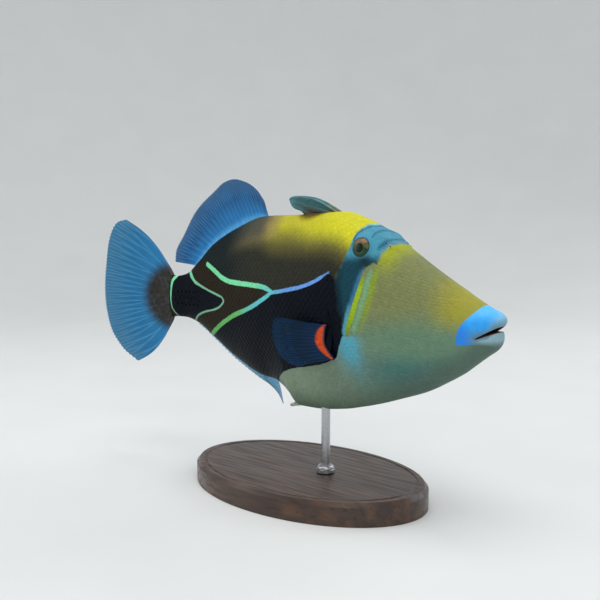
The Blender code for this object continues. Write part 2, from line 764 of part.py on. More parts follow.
def main():
    for old in list(bpy.data.objects):
        bpy.data.objects.remove(old)
    fish = bpy.data.collections.new("reef_triggerfish")
    bpy.context.scene.collection.children.link(fish)

    head = loft("head", mouth_rings() + body_rings(0.085, NECK - GAP_SHARE / 2, RING_PLACES), fish)
    trunk = loft("trunk", body_rings(NECK + GAP_SHARE / 2, STALK - GAP_SHARE / 2, RING_PLACES), fish)
    stalk = loft("tail_stalk", body_rings(STALK + GAP_SHARE / 2, 1.0, RING_PLACES), fish)

    combine(head, [lid(side, fish) for side in (-1, 1)], "UNION")
    pits = [nostril(side, t, z, fish) for side in (-1, 1) for t, z in NOSTRILS]
    sockets = [eyeball("socket", side, JOINT_GAP, fish) for side in (-1, 1)]
    combine(head, pits + sockets, "DIFFERENCE")
    eye_right = eyeball("eye_right", -1, 0.0, fish)
    eye_left = eyeball("eye_left", 1, 0.0, fish)

    x = rod_x()
    socket_top = rod_top() + JOINT_GAP
    bore = cylinder(
        "bore", (x, 0, socket_top - 0.03), (x, 0, socket_top), ROD_RADIUS + JOINT_GAP, 28, fish
    )
    combine(trunk, [bore, gill_slit(-1, fish), gill_slit(1, fish)], "DIFFERENCE")
    combine(stalk, stalk_spines(fish), "UNION")

    leans = (DORSAL_LEAN_LOW, DORSAL_LEAN_HIGH)
    dorsal = median_fin("second_dorsal_fin", DORSAL_RAYS, DORSAL_BASE, DORSAL_RIM, leans, 1, 1, fish)
    leans = (ANAL_LEAN_LOW, ANAL_LEAN_HIGH)
    anal = median_fin("anal_fin", ANAL_RAYS, ANAL_BASE, ANAL_RIM, leans, 2, -1, fish)
    caudal = caudal_fin(fish)
    folded = folded_dorsal(fish)
    pectoral_right = pectoral_fin("pectoral_fin_right", -1, fish)
    pectoral_left = pectoral_fin("pectoral_fin_left", 1, fish)
    pelvic = pelvic_spine(fish)
    for piece in (dorsal, anal, caudal, folded, pectoral_right, pectoral_left, pelvic):
        places = np.concatenate([[0.02, 0.05], RING_PLACES])
        around = loft("around", swollen_rings(places, GAP_SHARE), fish)
        combine(piece, [around], "DIFFERENCE", "MANIFOLD")

    base = stand_base(fish)
    rod = stand_rod(fish)

    finish(head, (0.42, 0.40, 0.20), 0.45)
    finish(trunk, (0.16, 0.13, 0.06), 0.45)
    finish(stalk, (0.02, 0.02, 0.03), 0.45)
    finish(eye_right, (0.05, 0.10, 0.06), 0.1)
    finish(eye_left, (0.05, 0.10, 0.06), 0.1)
    for fin in (dorsal, anal, caudal):
        finish(fin, (0.12, 0.36, 0.62), 0.4)
    finish(folded, (0.08, 0.17, 0.20), 0.45)
    for fin in (pectoral_right, pectoral_left):
        finish(fin, (0.06, 0.15, 0.30), 0.4)
    finish(pelvic, (0.50, 0.55, 0.48), 0.5)
    finish(base, (0.03, 0.03, 0.03), 0.35)
    finish(rod, (0.6, 0.6, 0.62), 0.25, 1.0)


main()
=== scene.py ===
"""A reef triggerfish as a life-size museum model, in its painted skin, on an oval wooden base."""

import json
import math

import bpy
import numpy as np
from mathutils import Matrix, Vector

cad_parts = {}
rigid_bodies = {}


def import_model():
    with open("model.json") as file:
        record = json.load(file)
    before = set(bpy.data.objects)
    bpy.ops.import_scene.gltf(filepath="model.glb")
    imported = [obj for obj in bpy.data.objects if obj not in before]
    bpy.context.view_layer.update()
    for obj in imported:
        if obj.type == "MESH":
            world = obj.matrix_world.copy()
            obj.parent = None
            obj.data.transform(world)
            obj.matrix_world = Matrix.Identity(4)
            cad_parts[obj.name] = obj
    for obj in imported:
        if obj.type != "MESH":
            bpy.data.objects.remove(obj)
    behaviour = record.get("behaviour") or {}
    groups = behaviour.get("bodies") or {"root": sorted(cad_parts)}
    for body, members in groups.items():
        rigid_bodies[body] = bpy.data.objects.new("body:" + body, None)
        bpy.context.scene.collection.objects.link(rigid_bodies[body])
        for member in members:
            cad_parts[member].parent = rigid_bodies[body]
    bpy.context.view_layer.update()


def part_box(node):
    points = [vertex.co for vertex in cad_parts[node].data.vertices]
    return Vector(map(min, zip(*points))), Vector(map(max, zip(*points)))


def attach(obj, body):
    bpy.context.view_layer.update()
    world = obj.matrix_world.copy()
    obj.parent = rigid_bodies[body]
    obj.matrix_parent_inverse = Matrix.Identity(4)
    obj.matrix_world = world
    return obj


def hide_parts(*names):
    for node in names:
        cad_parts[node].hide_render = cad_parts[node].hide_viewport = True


for old in list(bpy.data.objects):
    bpy.data.objects.remove(old)
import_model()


# Camera
# It looks at the fish from its right front quarter and a little from above, from two fish lengths away.
# Its lens gives the photograph's focal length in pixels.
CAMERA_TARGET = Vector((-0.0041, 0.0, 0.0880))
CAMERA_AZIMUTH = math.radians(42.0)
CAMERA_ELEVATION = math.radians(5.2)
CAMERA_DISTANCE = 0.380
FOCAL_PIXELS = 824.5
PICTURE_PIXELS = 600

camera_data = bpy.data.cameras.new("camera")
camera_data.sensor_width = 36.0
camera_data.lens = FOCAL_PIXELS * camera_data.sensor_width / PICTURE_PIXELS
camera_data.clip_start = 0.01
camera = bpy.data.objects.new("camera", camera_data)
bpy.context.scene.collection.objects.link(camera)
level = math.cos(CAMERA_ELEVATION)
camera_back = Vector(
    (math.sin(CAMERA_AZIMUTH) * level, -math.cos(CAMERA_AZIMUTH) * level, math.sin(CAMERA_ELEVATION))
)
camera.location = CAMERA_TARGET + camera_back * CAMERA_DISTANCE
camera.rotation_mode = "QUATERNION"
camera.rotation_quaternion = (-camera_back).to_track_quat("-Z", "Y")
bpy.context.scene.camera = camera
bpy.context.scene.view_settings.view_transform = "Standard"


# Studio
# A pale floor that curves up all round into a low wall, one large soft light overhead, and weaker
# ones from the camera's side, the tail's side and behind.
FLOOR_RADIUS = 0.75
COVE_RADIUS = 0.75
STUDIO_TURNS = 96
# Each light: name, place, size, power in watts, colour
STUDIO_LIGHTS = (
    ("light_overhead", (-0.05, -0.15, 1.15), 0.9, 7.6, (1.0, 1.0, 0.98)),
    ("light_front", (0.62, -0.55, 0.50), 0.5, 1.3, (1.0, 0.99, 0.97)),
    ("light_tail_side", (-0.62, -0.62, 0.42), 0.5, 0.9, (0.96, 0.98, 1.0)),
    ("light_behind", (0.20, 0.80, 0.60), 0.6, 1.6, (0.95, 0.98, 1.0)),
)
AIR_COLOUR = (0.93, 0.96, 1.0, 1.0)
AIR_STRENGTH = 0.48


def paint(red, green, blue):
    """A colour of the eye's own scale (0 to 255) as linear light."""
    value = np.array([red, green, blue], float) / 255
    return np.where(value > 0.04045, ((value + 0.055) / 1.055) ** 2.4, value / 12.92)


def round_angles(count):
    """Angles spread evenly round a full turn."""
    return np.linspace(0, 2 * math.pi, count, endpoint=False)


def grid_quads(rows, columns, rings=False):
    """Corner numbers of the quads of a grid of points numbered row by row. Rows that are rings are closed."""
    row = np.arange(rows - 1)[:, None] * columns
    column = np.arange(columns if rings else columns - 1)[None, :]
    onward = (column + 1) % columns
    corners = (row + column, row + onward, row + columns + onward, row + columns + column)
    return np.stack(corners, -1).reshape(-1, 4)


def mesh_piece(name, points, quads, triangles=()):
    """A smooth object from points in metres and faces, turned over if the space they enclose is negative."""
    points = np.asarray(points, float).reshape(-1, 3)
    quads = np.asarray(quads, int).reshape(-1, 4)
    triangles = np.asarray(triangles, int).reshape(-1, 3)
    halves = np.concatenate([quads[:, :3], quads[:, [0, 2, 3]], triangles])
    a, b, c = (points[halves[:, k]] - points.mean(0) for k in range(3))
    if np.einsum("ij,ij->i", a, np.cross(b, c)).sum() < 0:
        quads, triangles = quads[:, ::-1], triangles[:, ::-1]
    mesh = bpy.data.meshes.new(name)
    mesh.from_pydata(points.tolist(), [], quads.tolist() + triangles.tolist())
    mesh.update()
    mesh.shade_smooth()
    piece = bpy.data.objects.new(name, mesh)
    bpy.context.scene.collection.objects.link(piece)
    return piece


def turned_piece(name, profile, turns, stretch=(1.0, 1.0), middle=(0.0, 0.0)):
    """A profile of (radius, height) turned about the upright axis through middle, stretched along x and y."""
    radius, height = np.asarray(profile, float).T[..., None]
    x = middle[0] + stretch[0] * radius * np.cos(round_angles(turns))
    y = middle[1] + stretch[1] * radius * np.sin(round_angles(turns))
    points = np.stack([x, y, np.broadcast_to(height, x.shape)], -1)
    return mesh_piece(name, points, grid_quads(len(profile), turns, rings=True))


class Finish:
    """A material being built: its shader and short ways to add and join nodes."""

    def __init__(self, name, roughness, **sockets):
        self.material = bpy.data.materials.new(name)
        self.material.use_nodes = True
        self.tree = self.material.node_tree
        self.shader = self.tree.nodes["Principled BSDF"]
        self.shader.inputs["Roughness"].default_value = roughness
        for socket, value in sockets.items():
            self.shader.inputs[socket.replace("_", " ")].default_value = value

    def node(self, kind, inputs=(), **settings):
        """A node of that kind. inputs gives its sockets by name or number, as values or as other sockets."""
        made = self.tree.nodes.new("ShaderNode" + kind)
        for key, value in settings.items():
            setattr(made, key, value)
        for key, value in dict(inputs).items():
            if isinstance(value, bpy.types.NodeSocket):
                self.tree.links.new(value, made.inputs[key])
            else:
                made.inputs[key].default_value = value
        return made

    def places(self, scale=(1, 1, 1)):
        """The piece's own coordinates in metres, scaled."""
        source = self.node("TexCoord").outputs["Object"]
        return self.node("Mapping", {"Vector": source, "Scale": scale}).outputs[0]

    def value(self, name, output="Fac"):
        """A value painted on the mesh's points."""
        return self.node("Attribute", attribute_name=name).outputs[output]

    def noise(self, vector, scale, detail=3.0, roughness=0.5):
        """A cloudy pattern about 0.5 at a vector, so many clouds to the metre."""
        inputs = {"Vector": vector, "Scale": scale, "Detail": detail, "Roughness": roughness}
        return self.node("TexNoise", inputs).outputs["Fac"]

    def ramp(self, value, low=0.3, high=0.7, out_low=0.0, out_high=1.0, kind="SMOOTHSTEP"):
        """value from low to high as out_low to out_high, held at both ends."""
        inputs = {0: value, 1: low, 2: high, 3: out_low, 4: out_high}
        return self.node("MapRange", inputs, interpolation_type=kind).outputs[0]

    def maths(self, operation, first, second=0.0):
        """One sum on two values."""
        return self.node("Math", {0: first, 1: second}, operation=operation).outputs[0]

    def mixed(self, amount, first, second, blend="MIX"):
        """Two colours mixed by an amount from 0 to 1."""
        first, second = ((*c, 1.0) if isinstance(c, np.ndarray) else c for c in (first, second))
        inputs = {0: amount, 6: first, 7: second}
        return self.node("Mix", inputs, data_type="RGBA", blend_type=blend).outputs[2]

    def bump(self, height, distance, strength=1.0, under=None):
        """A relief that high in metres over the surface, or over another relief."""
        inputs = {"Height": height, "Distance": distance, "Strength": strength}
        if under is not None:
            inputs["Normal"] = under
        return self.node("Bump", inputs).outputs["Normal"]

    def textured(self, grain, roughness, height, strength, under=None):
        """Roughness between two values and a relief, over another if given, that follow one grain."""
        relief = self.bump(grain, height, strength, under)
        self.join(Roughness=self.ramp(grain, 0.3, 0.7, *roughness), Normal=relief)

    def join(self, **sockets):
        """Joins node outputs to the shader's sockets."""
        for socket, output in sockets.items():
            self.tree.links.new(output, self.shader.inputs[socket.replace("_", " ")])

    def on(self, *pieces):
        """Puts the finish on pieces."""
        for piece in pieces:
            piece.data.materials.clear()
            piece.data.materials.append(self.material)


studio_profile = [(0.0001, 0.0), (0.25, 0.0), (0.5, 0.0)] + [
    (FLOOR_RADIUS + COVE_RADIUS * math.sin(a), COVE_RADIUS * (1 - math.cos(a)))
    for a in np.linspace(0, math.pi / 2, 17)
]
studio = turned_piece("studio_floor", studio_profile, STUDIO_TURNS)
pale_floor = Finish("pale_floor", 0.75)
pale_grain = pale_floor.noise(pale_floor.places(), 14.0)
pale_floor.join(
    Base_Color=pale_floor.mixed(pale_grain, paint(222, 224, 224), paint(230, 231, 230)),
    Roughness=pale_floor.ramp(pale_grain, 0.3, 0.7, 0.68, 0.82),
)
pale_floor.on(studio)

for light_name, light_place, light_size, light_power, light_colour in STUDIO_LIGHTS:
    light_data = bpy.data.lights.new(light_name, "AREA")
    light_data.size = light_size
    light_data.energy = light_power
    light_data.color = light_colour
    light = bpy.data.objects.new(light_name, light_data)
    light.location = light_place
    light.rotation_mode = "QUATERNION"
    light.rotation_quaternion = (CAMERA_TARGET - light.location).to_track_quat("-Z", "Y")
    bpy.context.scene.collection.objects.link(light)
air = bpy.data.worlds.new("studio_air")
air.use_nodes = True
air.node_tree.nodes["Background"].inputs["Color"].default_value = AIR_COLOUR
air.node_tree.nodes["Background"].inputs["Strength"].default_value = AIR_STRENGTH
bpy.context.scene.world = air


# Stand base
# A flat oval board of dark walnut with a rounded rim and a fine step turned round its top, oiled and
# waxed. The fish's rod is let into it.
BASE_HALF_LONG, BASE_HALF_WIDE, BASE_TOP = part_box("stand_base")[1]
BASE_ROUNDING = 0.0018
BASE_STEP = (0.93, 0.922, 0.910, 0.902)
BASE_STEP_DEPTH = 0.0005
BASE_TURNS = 192
POLE_RADIUS = 0.00002
SHARP_FOLD = math.radians(35)
WALNUT_DARK = paint(44, 28, 19)
WALNUT_LIGHT = paint(86, 56, 36)

# The profile is told as shares of the half length, and turned_piece stretches it to the oval
rim = np.linspace(0, math.pi / 2, 9)
rim_out = 1 - BASE_ROUNDING * (1 - np.sin(rim)) / BASE_HALF_LONG
rim_up = BASE_ROUNDING * (1 - np.cos(rim))
step_height = BASE_TOP - np.array([0, 1, 1, 0]) * BASE_STEP_DEPTH
base_profile = [(POLE_RADIUS, 0.0), (0.5, 0.0)]
base_profile += zip(rim_out, BASE_ROUNDING - rim_up)
base_profile += zip(rim_out[::-1], BASE_TOP - BASE_ROUNDING + rim_up)
base_profile += zip(BASE_STEP, step_height)
base_profile += [(share, BASE_TOP) for share in (0.6, 0.3, POLE_RADIUS)]
stand_board = turned_piece("stand_board", base_profile, BASE_TURNS, (BASE_HALF_LONG, BASE_HALF_WIDE))
stand_board.data.set_sharp_from_angle(angle=SHARP_FOLD)
walnut = Finish("oiled_walnut", 0.4, Coat_Weight=0.25, Coat_Roughness=0.22)
along_grain = walnut.places(scale=(1, 7, 7))
figure = walnut.noise(along_grain, 26.0, 5.0, 0.6)
pores = walnut.noise(walnut.places(scale=(40, 620, 620)), 1.0, 2.0, 0.55)
rings = walnut.node(
    "TexWave",
    {"Vector": along_grain, "Scale": 9.0, "Distortion": 7.0, "Detail": 3.0, "Detail Scale": 1.4},
    bands_direction="Y",
).outputs["Fac"]
wood = walnut.mixed(walnut.ramp(figure), WALNUT_DARK, WALNUT_LIGHT)
wood = walnut.mixed(walnut.ramp(rings, 0.1, 0.9, 0.0, 0.45), wood, WALNUT_DARK)
walnut.join(
    Base_Color=walnut.mixed(walnut.ramp(pores, 0.58, 0.70, 0.0, 0.7), wood, WALNUT_DARK * 0.5),
    Roughness=walnut.ramp(pores, 0.4, 0.7, 0.34, 0.58),
    Normal=walnut.bump(walnut.ramp(pores, 0.55, 0.72, 1.0, 0.0), 0.00008, 0.5),
)
walnut.on(stand_board)
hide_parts("stand_base")
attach(stand_board, "root")


# Stand rod
# A round rod of brushed steel with a small turned ferrule at its foot. It stands on the board and its
# top sits in a socket in the fish's belly.
(ROD_LEFT, _, ROD_FOOT), (ROD_RIGHT, _, ROD_TOP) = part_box("stand_rod")
ROD_MIDDLE = ((ROD_LEFT + ROD_RIGHT) / 2, 0.0)
ROD_RADIUS = 0.0020
FERRULE_RADIUS = (ROD_RIGHT - ROD_LEFT) / 2
FERRULE_HEIGHT = 0.0035
# Radius and height up to the ferrule's groove and shoulder, told from its own radius and foot
FERRULE_FOOT = ((-0.0002, 0.0), (0.0, 0.0002), (0.0, 0.0015), (-0.0003, 0.0017), (-0.0003, 0.0019))
SHOULDER_FOOT = 0.0020
SHOULDER_REACH = FERRULE_RADIUS - ROD_RADIUS - 0.0005
ROD_TURNS = 64

rod_profile = [(0.00001, ROD_FOOT)]
rod_profile += [(FERRULE_RADIUS + out, ROD_FOOT + up) for out, up in FERRULE_FOOT]
rod_profile += [
    (
        ROD_RADIUS + 0.0002 + SHOULDER_REACH * math.cos(a),
        ROD_FOOT + SHOULDER_FOOT + (FERRULE_HEIGHT - SHOULDER_FOOT) * math.sin(a),
    )
    for a in np.linspace(0, math.pi / 2, 8)
]
rod_profile += [(ROD_RADIUS, ROD_FOOT + FERRULE_HEIGHT)]
rod_profile += [(ROD_RADIUS, z) for z in np.linspace(ROD_FOOT + FERRULE_HEIGHT + 0.001, ROD_TOP - 0.0005, 6)]
rod_profile += [(ROD_RADIUS * 0.75, ROD_TOP), (0.00001, ROD_TOP)]
steel_rod = turned_piece("steel_rod", rod_profile, ROD_TURNS, middle=ROD_MIDDLE)
steel_rod.data.set_sharp_from_angle(angle=SHARP_FOLD)
steel = Finish("brushed_steel", 0.3, Metallic=1.0)
brushing = steel.noise(steel.places(scale=(300, 300, 5200)), 1.0, 2.0)
steel.textured(brushing, (0.22, 0.42), 0.00002, 0.4)
steel.join(Base_Color=steel.mixed(brushing, paint(166, 168, 171), paint(190, 191, 194)))
steel.on(steel_rod)
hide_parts("stand_rod")
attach(steel_rod, "root")


# Skin
# The fish's leathery hide, from the throat over the lips to the root of the tail fin, in one piece with
# no seam. It lies a little inside the solid forms, by the height of the scale plates that cover it.
SIDES = ((-1, "right"), (1, "left"))
STANDARD_LENGTH = 0.190
MILLIMETRE = 0.001 / STANDARD_LENGTH
AXIS_HEIGHT = 0.085
FISH_SHIFT_X = 0.006
TAIL_BEND = math.radians(20.0)
BEND_START = 0.72
BEND_END = 1.06
SKIN_INSET = 0.10 * MILLIMETRE
SKIN_COLUMNS = 296
THROAT_RINGS = 12
LIP_RINGS = 42
# Where each span of the skin's rings starts, and how many rings it has
SKIN_SPANS = (
    (0.085, 65), (0.278, 51), (0.350, 8), (0.377, 15), (0.400, 33), (0.545, 21), (0.605, 57), (0.880, 25),
)

# Body stations: t, back, belly, level of the widest point, half width, fullness of back and of belly.
# A fullness under 1 squares the section off, and one over 1 draws it in towards a keel.
STATIONS = np.array(
    [
        (0.000, 0.012, -0.030, -0.010, 0.018, 0.90, 0.90),
        (0.020, 0.022, -0.048, -0.012, 0.027, 0.90, 0.90),
        (0.040, 0.031, -0.066, -0.014, 0.034, 0.90, 0.95),
        (0.085, 0.057, -0.104, -0.018, 0.049, 0.88, 1.00),
        (0.122, 0.077, -0.127, -0.018, 0.058, 0.85, 1.05),
        (0.183, 0.111, -0.160, -0.012, 0.069, 0.75, 1.10),
        (0.245, 0.1485, -0.183, -0.002, 0.076, 0.64, 1.15),
        (0.300, 0.183, -0.202, 0.006, 0.080, 0.58, 1.20),
        (0.355, 0.211, -0.218, 0.010, 0.084, 0.66, 1.25),
        (0.414, 0.2285, -0.232, 0.010, 0.086, 0.86, 1.30),
        (0.504, 0.2245, -0.243, 0.006, 0.084, 0.98, 1.35),
        (0.553, 0.2225, -0.2435, 0.004, 0.080, 1.02, 1.35),
        (0.570, 0.2220, -0.226, 0.003, 0.078, 1.03, 1.32),
        (0.598, 0.2215, -0.204, 0.002, 0.074, 1.05, 1.28),
        (0.632, 0.2210, -0.1885, 0.001, 0.070, 1.08, 1.22),
        (0.669, 0.2195, -0.185, 0.000, 0.065, 1.10, 1.18),
        (0.767, 0.1905, -0.149, 0.000, 0.050, 1.10, 1.10),
        (0.851, 0.1475, -0.098, 0.002, 0.037, 1.08, 1.05),
        (0.902, 0.1000, -0.066, 0.003, 0.029, 1.02, 1.00),
        (0.945, 0.0660, -0.053, 0.003, 0.022, 0.95, 0.95),
        (0.975, 0.0600, -0.052, 0.003, 0.018, 0.90, 0.90),
        (1.000, 0.0640, -0.058, 0.003, 0.0145, 0.90, 0.90),
    ]
)
# The swollen brow over each eye: where it is, how long and high, and how far it stands out or up
BROW = (0.306, 0.166, 0.032, 0.016, 0.0040)
BROW_RISE = (0.284, 0.052, 0.026, 0.022, 0.0120)
# The mouth: a slit that slopes down to its corners, between swollen lips
MOUTH_FRONT = (0.012, -0.010)
MOUTH_CORNER = (0.054, -0.031)
MOUTH_HALF_WIDTH = 0.031
MOUTH_HALF_GAPE = 0.0052
UPPER_LIP_SWELL = 0.0215
LOWER_LIP_SWELL = 0.0145
CORNER_LIP_SWELL = 0.0045
LIP_ROOT = (0.040, 0.078)
THROAT_DEPTH = 0.045
THROAT_STATIONS = (0, 0.012, 0.030, THROAT_DEPTH)
SNOUT_START = SKIN_SPANS[0][0]
# The eyes, and the gill slits' upper and lower ends as t and height
EYE_CENTRE = (0.318, 0.0555, 0.1465)
EYE_RADIUS = 0.0049
EYE_DEPTH = 0.0034
EYE_TILT_UP = math.radians(16.0)
SOCKET_DEPTH = 0.0052
GILL_SLIT = ((0.392, 0.012), (0.384, -0.024))


def between(xs, ys, at):
    """A smooth curve through the points (xs, ys) that never overshoots them, read at the values of at."""
    xs, ys, at = (np.asarray(v, float) for v in (xs, ys, at))
    step = np.diff(xs)
    slope = np.diff(ys) / step
    tangent = np.zeros_like(ys)
    tangent[0], tangent[-1] = slope[0], slope[-1]
    same_way = slope[:-1] * slope[1:] > 0
    first = (2 * step[1:] + step[:-1])[same_way]
    second = (step[1:] + 2 * step[:-1])[same_way]
    mean = (first + second) / (first / slope[:-1][same_way] + second / slope[1:][same_way])
    tangent[1:-1][same_way] = mean
    i = np.clip(np.searchsorted(xs, at) - 1, 0, len(xs) - 2)
    s = (at - xs[i]) / step[i]
    rise = (3 - 2 * s) * s * s
    return (
        ys[i] * (1 - rise)
        + ys[i + 1] * rise
        + step[i] * s * (1 - s) * ((1 - s) * tangent[i] - s * tangent[i + 1])
    )


def smooth_step(value, low, high):
    """0 below low, 1 above high, and a smooth rise between them."""
    share = np.clip((value - low) / (high - low), 0, 1)
    return share * share * (3 - 2 * share)


def hump(*ways):
    """1 at a hump's middle, falling off by the sum of the squares of the ways from it."""
    return np.exp(-sum(way**2 for way in ways))


def halved(is_before, low, high, steps):
    """The value between low and high at which is_before turns false, found by halving the gap."""
    for _ in range(steps):
        middle = (low + high) / 2
        before = is_before(middle)
        low, high = np.where(before, middle, low), np.where(before, high, middle)
    return (low + high) / 2


def station(t, column):
    """One measure of the body at t, from its column in STATIONS."""
    return between(STATIONS[:, 0], STATIONS[:, column], t)


def placed(points):
    """Points of the straight frame in metres, bent at the tail along an arc and set over the base.

    In the straight frame t runs from the lips (0) to the tail fin's root (1) and beyond, y is sideways
    (negative on the fish's right) and z is height above the mouth line, as shares of the standard length.
    """
    t, y, z = np.moveaxis(np.asarray(points, float), -1, 0)
    turn = TAIL_BEND / (BEND_END - BEND_START)
    angle = turn * np.clip(t - BEND_START, 0, BEND_END - BEND_START)
    beyond = np.clip(t - BEND_END, 0, None)
    along = 0.5 - np.minimum(t, BEND_START) - np.sin(angle) / turn - beyond * np.cos(angle)
    aside = -(1 - np.cos(angle)) / turn - beyond * np.sin(angle)
    x = (along - y * np.sin(angle)) * STANDARD_LENGTH + FISH_SHIFT_X
    across = (aside + y * np.cos(angle)) * STANDARD_LENGTH
    return np.stack([x, across, z * STANDARD_LENGTH + AXIS_HEIGHT], -1)


def section(t, turn, swell=0.0):
    """Points of the body's cross-section at t: a squared ellipse about its level, with the brow's swelling.

    turn is 0 at the back and pi at the belly, and negative on the fish's right.
    """
    t, turn = np.broadcast_arrays(np.asarray(t, float), np.asarray(turn, float))
    back, belly, level, half_width, full_back, full_belly = (station(t, k) for k in range(1, 7))
    up, side = np.cos(turn), np.sin(turn)
    reach = np.where(up > 0, back - level, level - belly) + swell
    fullness = np.where(up > 0, full_back, full_belly)
    z = level + reach * up
    y = (half_width + swell) * np.sign(side) * np.abs(side) ** fullness
    brow_t, brow_z, long, high, out = BROW
    brow = out * hump((t - brow_t) / long, (z - brow_z) / high)
    rise_t, rise_y, long, wide, rise = BROW_RISE
    lift = rise * hump((t - rise_t) / long, (np.abs(y) - rise_y) / wide) * np.clip((z - 0.140) / 0.030, 0, 1)
    return np.stack([t, y + brow * np.sign(side) * np.abs(side) ** 0.5, z + lift], -1)


# Arc lengths down each section from the back (share 0) to the belly (share 1), kept as a table of turns
GIRTH_T = np.linspace(0.020, 1.000, 246)
GIRTH_SHARE = np.linspace(0, 1, 241)
girth_turns = np.linspace(0, math.pi, 1441)
girth_points = section(GIRTH_T[:, None], girth_turns[None, :])
girth_steps = np.linalg.norm(np.diff(girth_points[..., 1:], axis=1), axis=-1)
girth_arcs = np.concatenate([np.zeros((len(GIRTH_T), 1)), np.cumsum(girth_steps, axis=1)], axis=1)
HALF_GIRTH = girth_arcs[:, -1]
TURN_TABLE = np.stack([np.interp(GIRTH_SHARE * arc[-1], arc, girth_turns) for arc in girth_arcs])
LEVEL_ARC = girth_arcs[:, len(girth_turns) // 2]


def half_girth(t):
    """The arc from the back's middle line to the belly's, at t."""
    return np.interp(t, GIRTH_T, HALF_GIRTH)


def turn_at(t, share):
    """The turn at which the arc down from the back is that share of half the girth, read from the table."""
    t, share = np.broadcast_arrays(np.asarray(t, float), np.asarray(share, float))
    row = np.clip((t - GIRTH_T[0]) / (GIRTH_T[1] - GIRTH_T[0]), 0, len(GIRTH_T) - 1.000001)
    column = np.clip(share * (len(GIRTH_SHARE) - 1), 0, len(GIRTH_SHARE) - 1.000001)
    i, j = row.astype(int), column.astype(int)
    a, b = row - i, column - j
    upper = TURN_TABLE[i, j] * (1 - b) + TURN_TABLE[i, j + 1] * b
    lower = TURN_TABLE[i + 1, j] * (1 - b) + TURN_TABLE[i + 1, j + 1] * b
    return upper * (1 - a) + lower * a


def stalk_end(points):
    """The points with the last of the tail stalk narrowed sideways to the thickness of the fin's root."""
    narrow = 1 - 0.50 * smooth_step(points[..., :1], 0.978, 1.000)
    return points * np.concatenate([np.ones_like(narrow), narrow, np.ones_like(narrow)], -1)


def flank(t, z, side):
    """The point of the body's side at t and height z."""
    turn = halved(lambda tried: section(t, tried)[..., 2] > z, np.zeros_like(t), np.full_like(t, math.pi), 34)
    point = section(t, turn)
    return np.stack([point[..., 0], side * np.abs(point[..., 1]), point[..., 2]], -1)


def mouth_ring(turn, deeper, share):
    """One ring of the mouth: deeper than the slit's rim, or a share of the way in from the lips' root."""
    up, side = np.cos(turn), np.sin(turn)
    corner = np.abs(side) ** 3
    middle = MOUTH_FRONT[1] + (MOUTH_CORNER[1] - MOUTH_FRONT[1]) * corner
    narrow = between(THROAT_STATIONS, (1, 0.94, 0.72, 0.45), deeper)
    close = between(THROAT_STATIONS, (1, 1.0, 0.9, 0.7), deeper)
    rim_t = MOUTH_FRONT[0] + (MOUTH_CORNER[0] - MOUTH_FRONT[0]) * corner + deeper * (1 - 0.5 * corner)
    rim = np.stack([rim_t, MOUTH_HALF_WIDTH * side * narrow, middle + MOUTH_HALF_GAPE * up * close], -1)
    root = section(LIP_ROOT[0] + (LIP_ROOT[1] - LIP_ROOT[0]) * corner, turn, -SKIN_INSET)
    swell = np.where(up > 0, UPPER_LIP_SWELL, LOWER_LIP_SWELL)
    swell = swell + (CORNER_LIP_SWELL - swell) * corner
    ring = root * (1 - share) + rim * share
    bulge = np.sin(math.pi * share**0.8) ** 0.8
    ring[:, 0] -= swell * bulge * (1 - 0.6 * corner)
    ring[:, 1] += 0.5 * swell * bulge * corner * np.sign(side)
    return ring


def eye_axes(side):
    """The eye's own across, up and outward ways in metres, and its centre."""
    out = np.array([0.10, side * math.cos(EYE_TILT_UP), math.sin(EYE_TILT_UP)])
    out /= np.linalg.norm(out)
    across = np.cross(out, [0, 0, 1])
    across /= np.linalg.norm(across)
    t, y, z = EYE_CENTRE
    return across, np.cross(across, out), out, placed([t, side * y, z])


def socket(points, side):
    """How skin points move to make room behind an eye: inwards, all alike near the eye's axis."""
    across, up, out, centre = eye_axes(side)
    offset = points - centre
    from_axis = np.hypot(offset @ across, offset @ up)
    near = (offset @ out > -0.004) * (1 - smooth_step(from_axis, 0.0046, 0.0054))
    return -near[:, None] * out * SOCKET_DEPTH


def gill_relief(points, side):
    """How far skin points of the straight frame stand out at a gill slit: a groove behind a low flap."""
    t, y, z = points.T
    (high_t, high_z), (low_t, low_z) = GILL_SLIT
    share = np.clip((z - low_z) / (high_z - low_z), -0.3, 1.3)
    line = low_t + (high_t - low_t) * share + 0.002 * np.sin(math.pi * share)
    ends = (1 - np.abs(2 * np.clip(share, 0, 1) - 1) ** 4) * (share > 0) * (share < 1) * (y * side > 0)
    return ends * (0.0004 * hump((t - line + 0.008) / 0.006) - 0.0013 * hump((t - line) / 0.0016))


def end_fans(rows, turns):
    """Triangles that close a tube's first and last rings on two points numbered after its own."""
    k = np.arange(turns)
    after = (k + 1) % turns
    last = (rows - 1) * turns
    pole = np.full_like(k, rows * turns)
    first_fan, last_fan = (pole, after, k), (pole + 1, last + k, last + after)
    return np.concatenate([np.stack(first_fan, -1), np.stack(last_fan, -1)])


